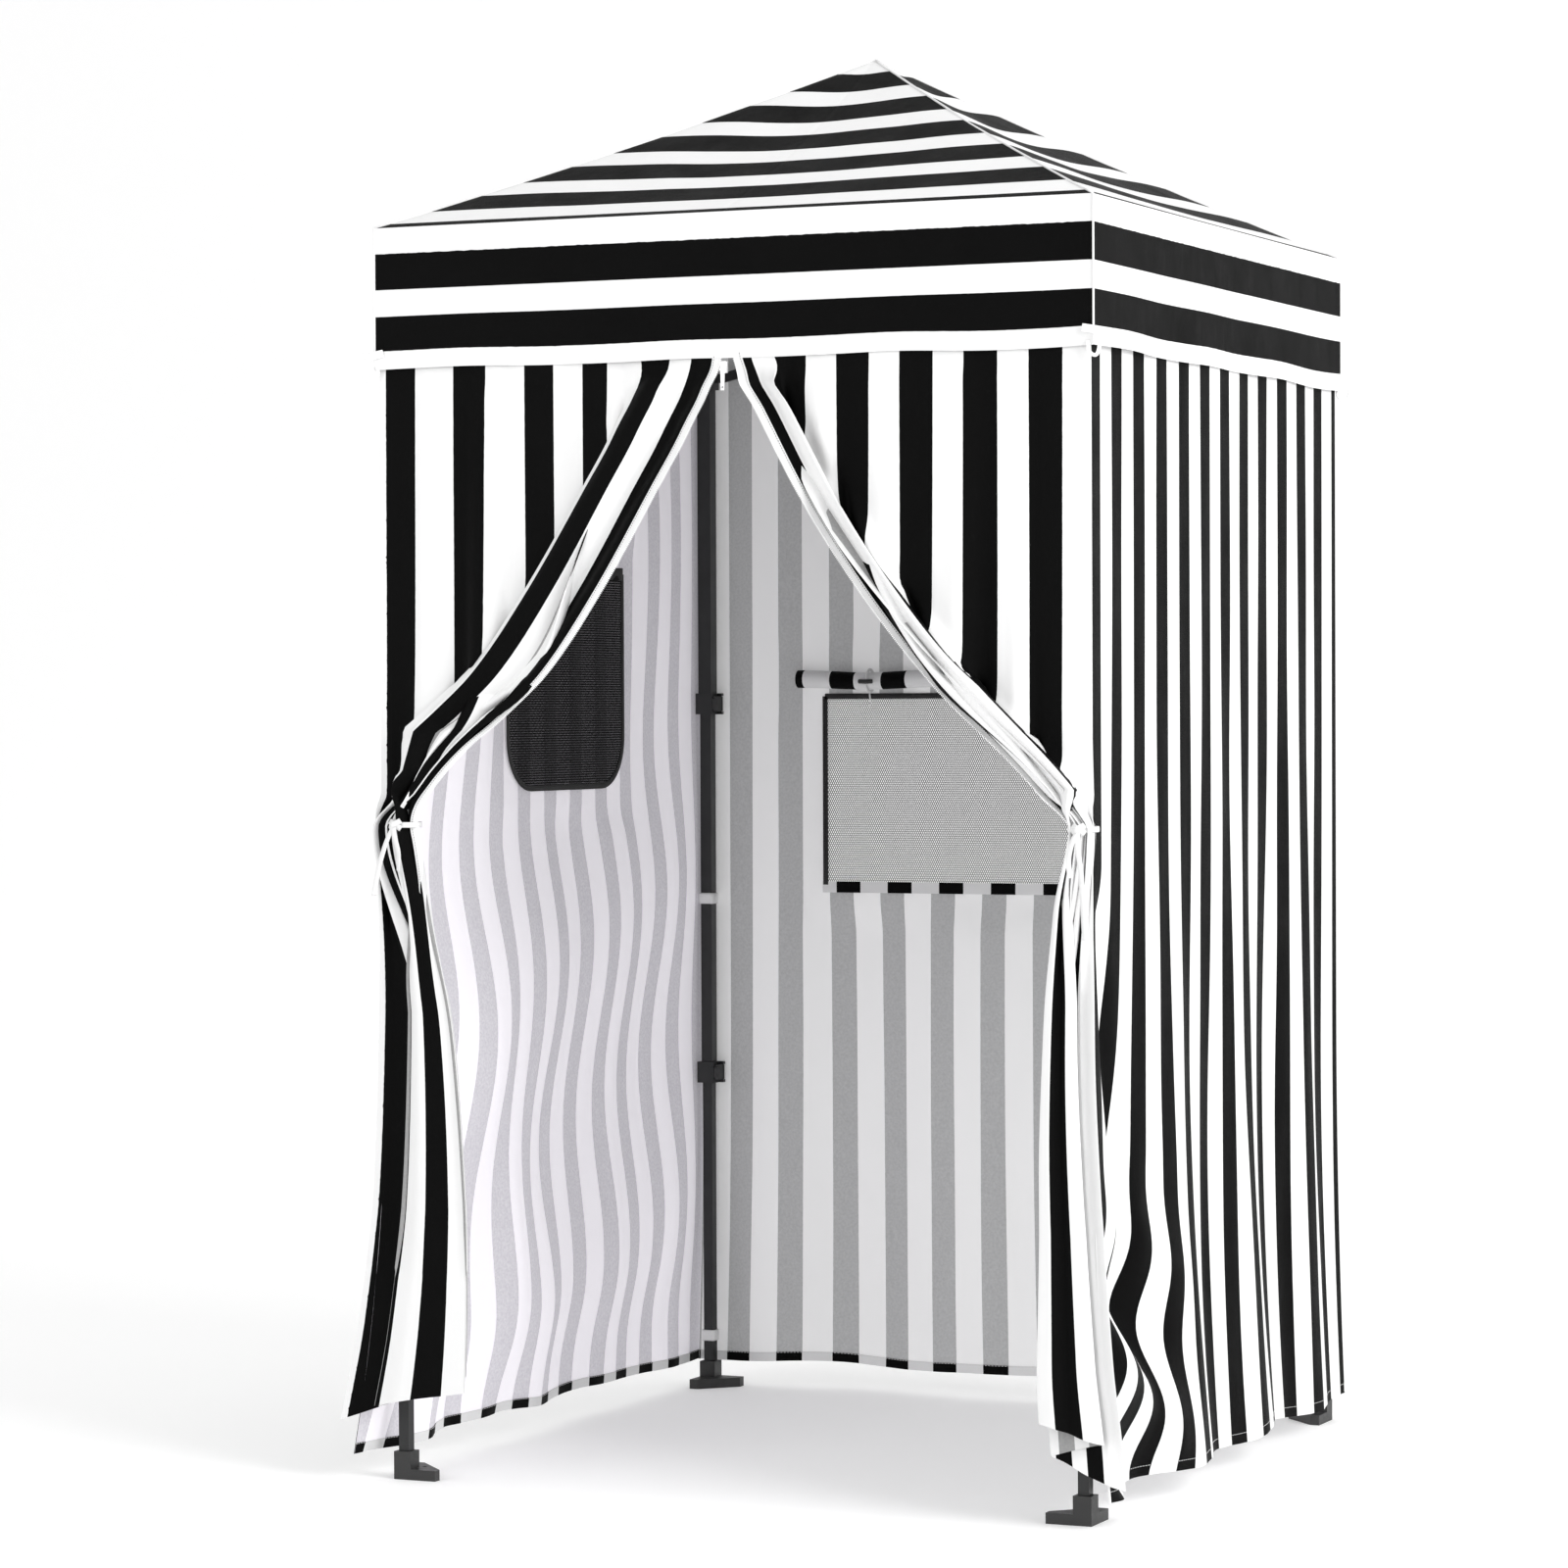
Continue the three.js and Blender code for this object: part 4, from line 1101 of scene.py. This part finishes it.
# %% Piping, straps and corner loops
for corner, (sx, sy) in CORNERS.items():
    t = np.linspace(0.004, 1, 40)
    ridge = [(sx * HALF * s, sy * HALF * s,
              float(roof_height(np.array(HALF * s), np.array(HALF * s))[0]) + 0.0004) for s in t]
    pipe = ribbon("ridge_piping_" + corner, ridge, 0.0036, 0.0036, (0, 0, 1), OUTSIDE, straight=True)
    for loop in pipe.data.uv_layers["cloth"].data:
        loop.uv = (0.7, loop.uv[1])
    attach(pipe, "rib_" + corner)
    out = HALF + 0.0006
    drop = [(sx * out, sy * out, EAVE - d) for d in np.linspace(0.0, 0.225, 20)]
    seam = ribbon("corner_piping_" + corner, drop, 0.0034, 0.0034, (sx, sy, 0), OUTSIDE, straight=True)
    for loop in seam.data.uv_layers["cloth"].data:
        loop.uv = (0.7, loop.uv[1])
    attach(seam, "leg_" + corner)
    for part_name, z, half_tube in (("upper", 0.887, 0.0105), ("lower", 0.092 if sy > 0 else 0.200, 0.009)):
        r = half_tube + 0.0030
        band = ribbon("band", ring(sx * LEG, sy * LEG, z, r, r, power=7.0), 0.0022, 0.020, (0, 0, 1), WHITE_TAPE,
                      closed=True, straight=True)
        tab = ribbon("tab", [(sx * (LEG + r * 0.8), sy * (LEG + r * 0.8), z),
                             (sx * (LEG + 0.0145), sy * (LEG + 0.0145), z + 0.001)],
                     0.0022, 0.020, (0, 0, 1), WHITE_TAPE, count=4)
        strap = joined("leg_strap_%s_%s" % (part_name, corner), [band, tab])
        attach(strap, "leg_" + corner)           # the tubes slide through it
    cx, cy = sx * (HALF + 0.004), sy * (HALF + 0.004)
    eye = [(cx - sx * 0.010, cy, HANG + 0.024), (cx + sx * 0.006, cy + sy * 0.004, HANG + 0.016),
           (cx + sx * 0.009, cy + sy * 0.006, HANG - 0.004),
           (cx + sx * 0.003, cy + sy * 0.004, HANG - 0.016), (cx - sx * 0.009, cy, HANG - 0.010),
           (cx - sx * 0.011, cy, HANG + 0.006)]
    clip = ribbon("clip", eye, 0.006, 0.006, (sx, sy, 0), WHITE_NYLON, count=40)
    patch = ribbon("patch", [(cx - sx * 0.020, cy, HANG + 0.026), (cx + sx * 0.002, cy + sy * 0.002, HANG + 0.022)],
                   0.012, 0.0036, (0, sy, 0), WHITE_NYLON, count=6)
    clip = joined("corner_loop_" + corner, [clip, patch])
    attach(clip, "leg_" + corner)
print("seams, straps and loops made")

# %% [markdown]
# ## Stitching
# Two rows of stitches run along the hem of each wall. They lie on the cloth, so their
# paths use the same function that shaped it.

# %% Hem bands
# The hem is folded up inside, so a strip of the printed face shows along each wall's foot.
for side, seed, body in (("left", 41, "leg_fl"), ("right", 52, "leg_fr"), ("back", 63, "leg_bl")):
    pts, S, Z = wall_points(side, np.linspace(0, 1, 200), np.linspace(HEM + 0.017, HEM + 0.0005, 5), seed, SWELL[side])
    (ax, ay), (bx, by) = SIDES[side]
    inward = -np.array([(ax + bx) / 2, (ay + by) / 2, 0.0])
    hem = panel("hem_band_" + side, pts + inward * 0.0020,
                (S * 2 * HALF - (0.02 if side == "back" else 0.004)) / PERIOD, Z,
                OUTSIDE, OUTSIDE, thickness=0.0008, offset=0.0)
    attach(hem, body)
    walls[side + "_hem"] = hem

# %% Hem stitches
for side, seed, body in (("left", 41, "leg_fl"), ("right", 52, "leg_fr"), ("back", 63, "leg_bl")):
    pts, S, Z = wall_points(side, np.linspace(0, 1, 240), np.array([HEM + 0.016, HEM + 0.014]), seed, SWELL[side])
    (ax, ay), (bx, by) = SIDES[side]
    out = np.array([(ax + bx) / 2, (ay + by) / 2, 0.0])
    rows = [pts[0] + out * 0.0006, pts[0] - out * 0.0028]
    stitches = beads("hem_stitches_" + side, rows, 0.0062, 0.0046, 0.0011, 0.0009, THREAD)
    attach(stitches, body)
    walls[side + "_stitches"] = stitches

# %% [markdown]
# ## Cloth meshes
# When the frame closes, the legs come together and the cloth between them crumples into a
# soft bundle. A rigid piece can't show that. Here each cloth piece, and each piece on top of
# a cloth, is only given a mesh of its own.

# %% Cloth pieces get their own meshes
for corner, (sx, sy) in CORNERS.items():
    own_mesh(quarters[corner])
for strip, side, corner in valance:
    direction = (1, 0, 0) if side in ("front", "back") else (0, 1, 0)
    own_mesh(strip)
for side, direction, anchor in (("left", (0, 1, 0), (-HALF, -HALF, 1)), ("right", (0, 1, 0), (HALF, -HALF, 1)),
                                ("back", (1, 0, 0), (-HALF, HALF, 1))):
    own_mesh(walls[side])
    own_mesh(walls[side + "_stitches"])
    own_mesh(walls[side + "_hem"])
for piece in (window, binding, sill, window_zip, flap, elastic, toggle):
    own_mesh(piece)
for piece in (pocket, pocket_tape):
    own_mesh(piece)
for name, sign in (("left", -1), ("right", 1)):
    for piece in (doors[name][0],) + zip_teeth[name]:
        sign * HALF
        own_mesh(piece)

# %% [markdown]
# ## Stage
# The tent stands on a pale seamless sweep, as in a studio. A large soft light from the
# right and above gives the bright right side, and even light from all round keeps the
# shadows pale.

# %% Floor and light
def sweep():
    turn = np.linspace(0, math.pi / 2, 40)
    path = ([(-16.0, 0.0), (-6.0, 0.0), (0.0, 0.0), (4.0, 0.0)]
            + [(5.0 + 8.0 * math.sin(a), 8.0 - 8.0 * math.cos(a)) for a in turn] + [(13.0, 20.0)])
    verts = [(x, y, z) for y, z in path for x in (-26, 26)]
    mesh = bpy.data.meshes.new("sweep")
    mesh.from_pydata(verts, [], [(2 * i, 2 * i + 1, 2 * i + 3, 2 * i + 2) for i in range(len(path) - 1)])
    mesh.polygons.foreach_set("use_smooth", np.ones(len(mesh.polygons), bool))
    floor_paint = Finish("studio_white", roughness=0.9)
    floor_paint.skin.inputs["Base Color"].default_value = grey(0.92)
    floor_paint.skin.inputs["Emission Color"].default_value = grey(1.0)
    floor_paint.skin.inputs["Emission Strength"].default_value = 0.16
    mesh.materials.append(floor_paint.material)
    floor = bpy.data.objects.new("sweep", mesh)
    bpy.context.scene.collection.objects.link(floor)
    return floor


sweep()


def soft_light(name, place, target, power, width, height):
    data = bpy.data.lights.new(name, "AREA")
    data.shape, data.size, data.size_y, data.energy = "RECTANGLE", width, height, power
    light = bpy.data.objects.new(name, data)
    bpy.context.scene.collection.objects.link(light)
    light.location = place
    light.rotation_euler = (Vector(target) - Vector(place)).to_track_quat("-Z", "Y").to_euler()
    return light


soft_light("right window", (7.0, -2.5, 4.2), (0, 0, 1.2), 430, 4.0, 4.0)
soft_light("front fill", (-2.5, -7.5, 3.6), (0, 0, 1.1), 110, 4.0, 3.0)
world = bpy.data.worlds.new("studio")
bpy.context.scene.world = world
world.use_nodes = True
world.node_tree.nodes["Background"].inputs["Color"].default_value = (1, 1, 1, 1)
world.node_tree.nodes["Background"].inputs["Strength"].default_value = 0.80
bpy.context.scene.view_settings.view_transform = "Standard"
print("stage ready")
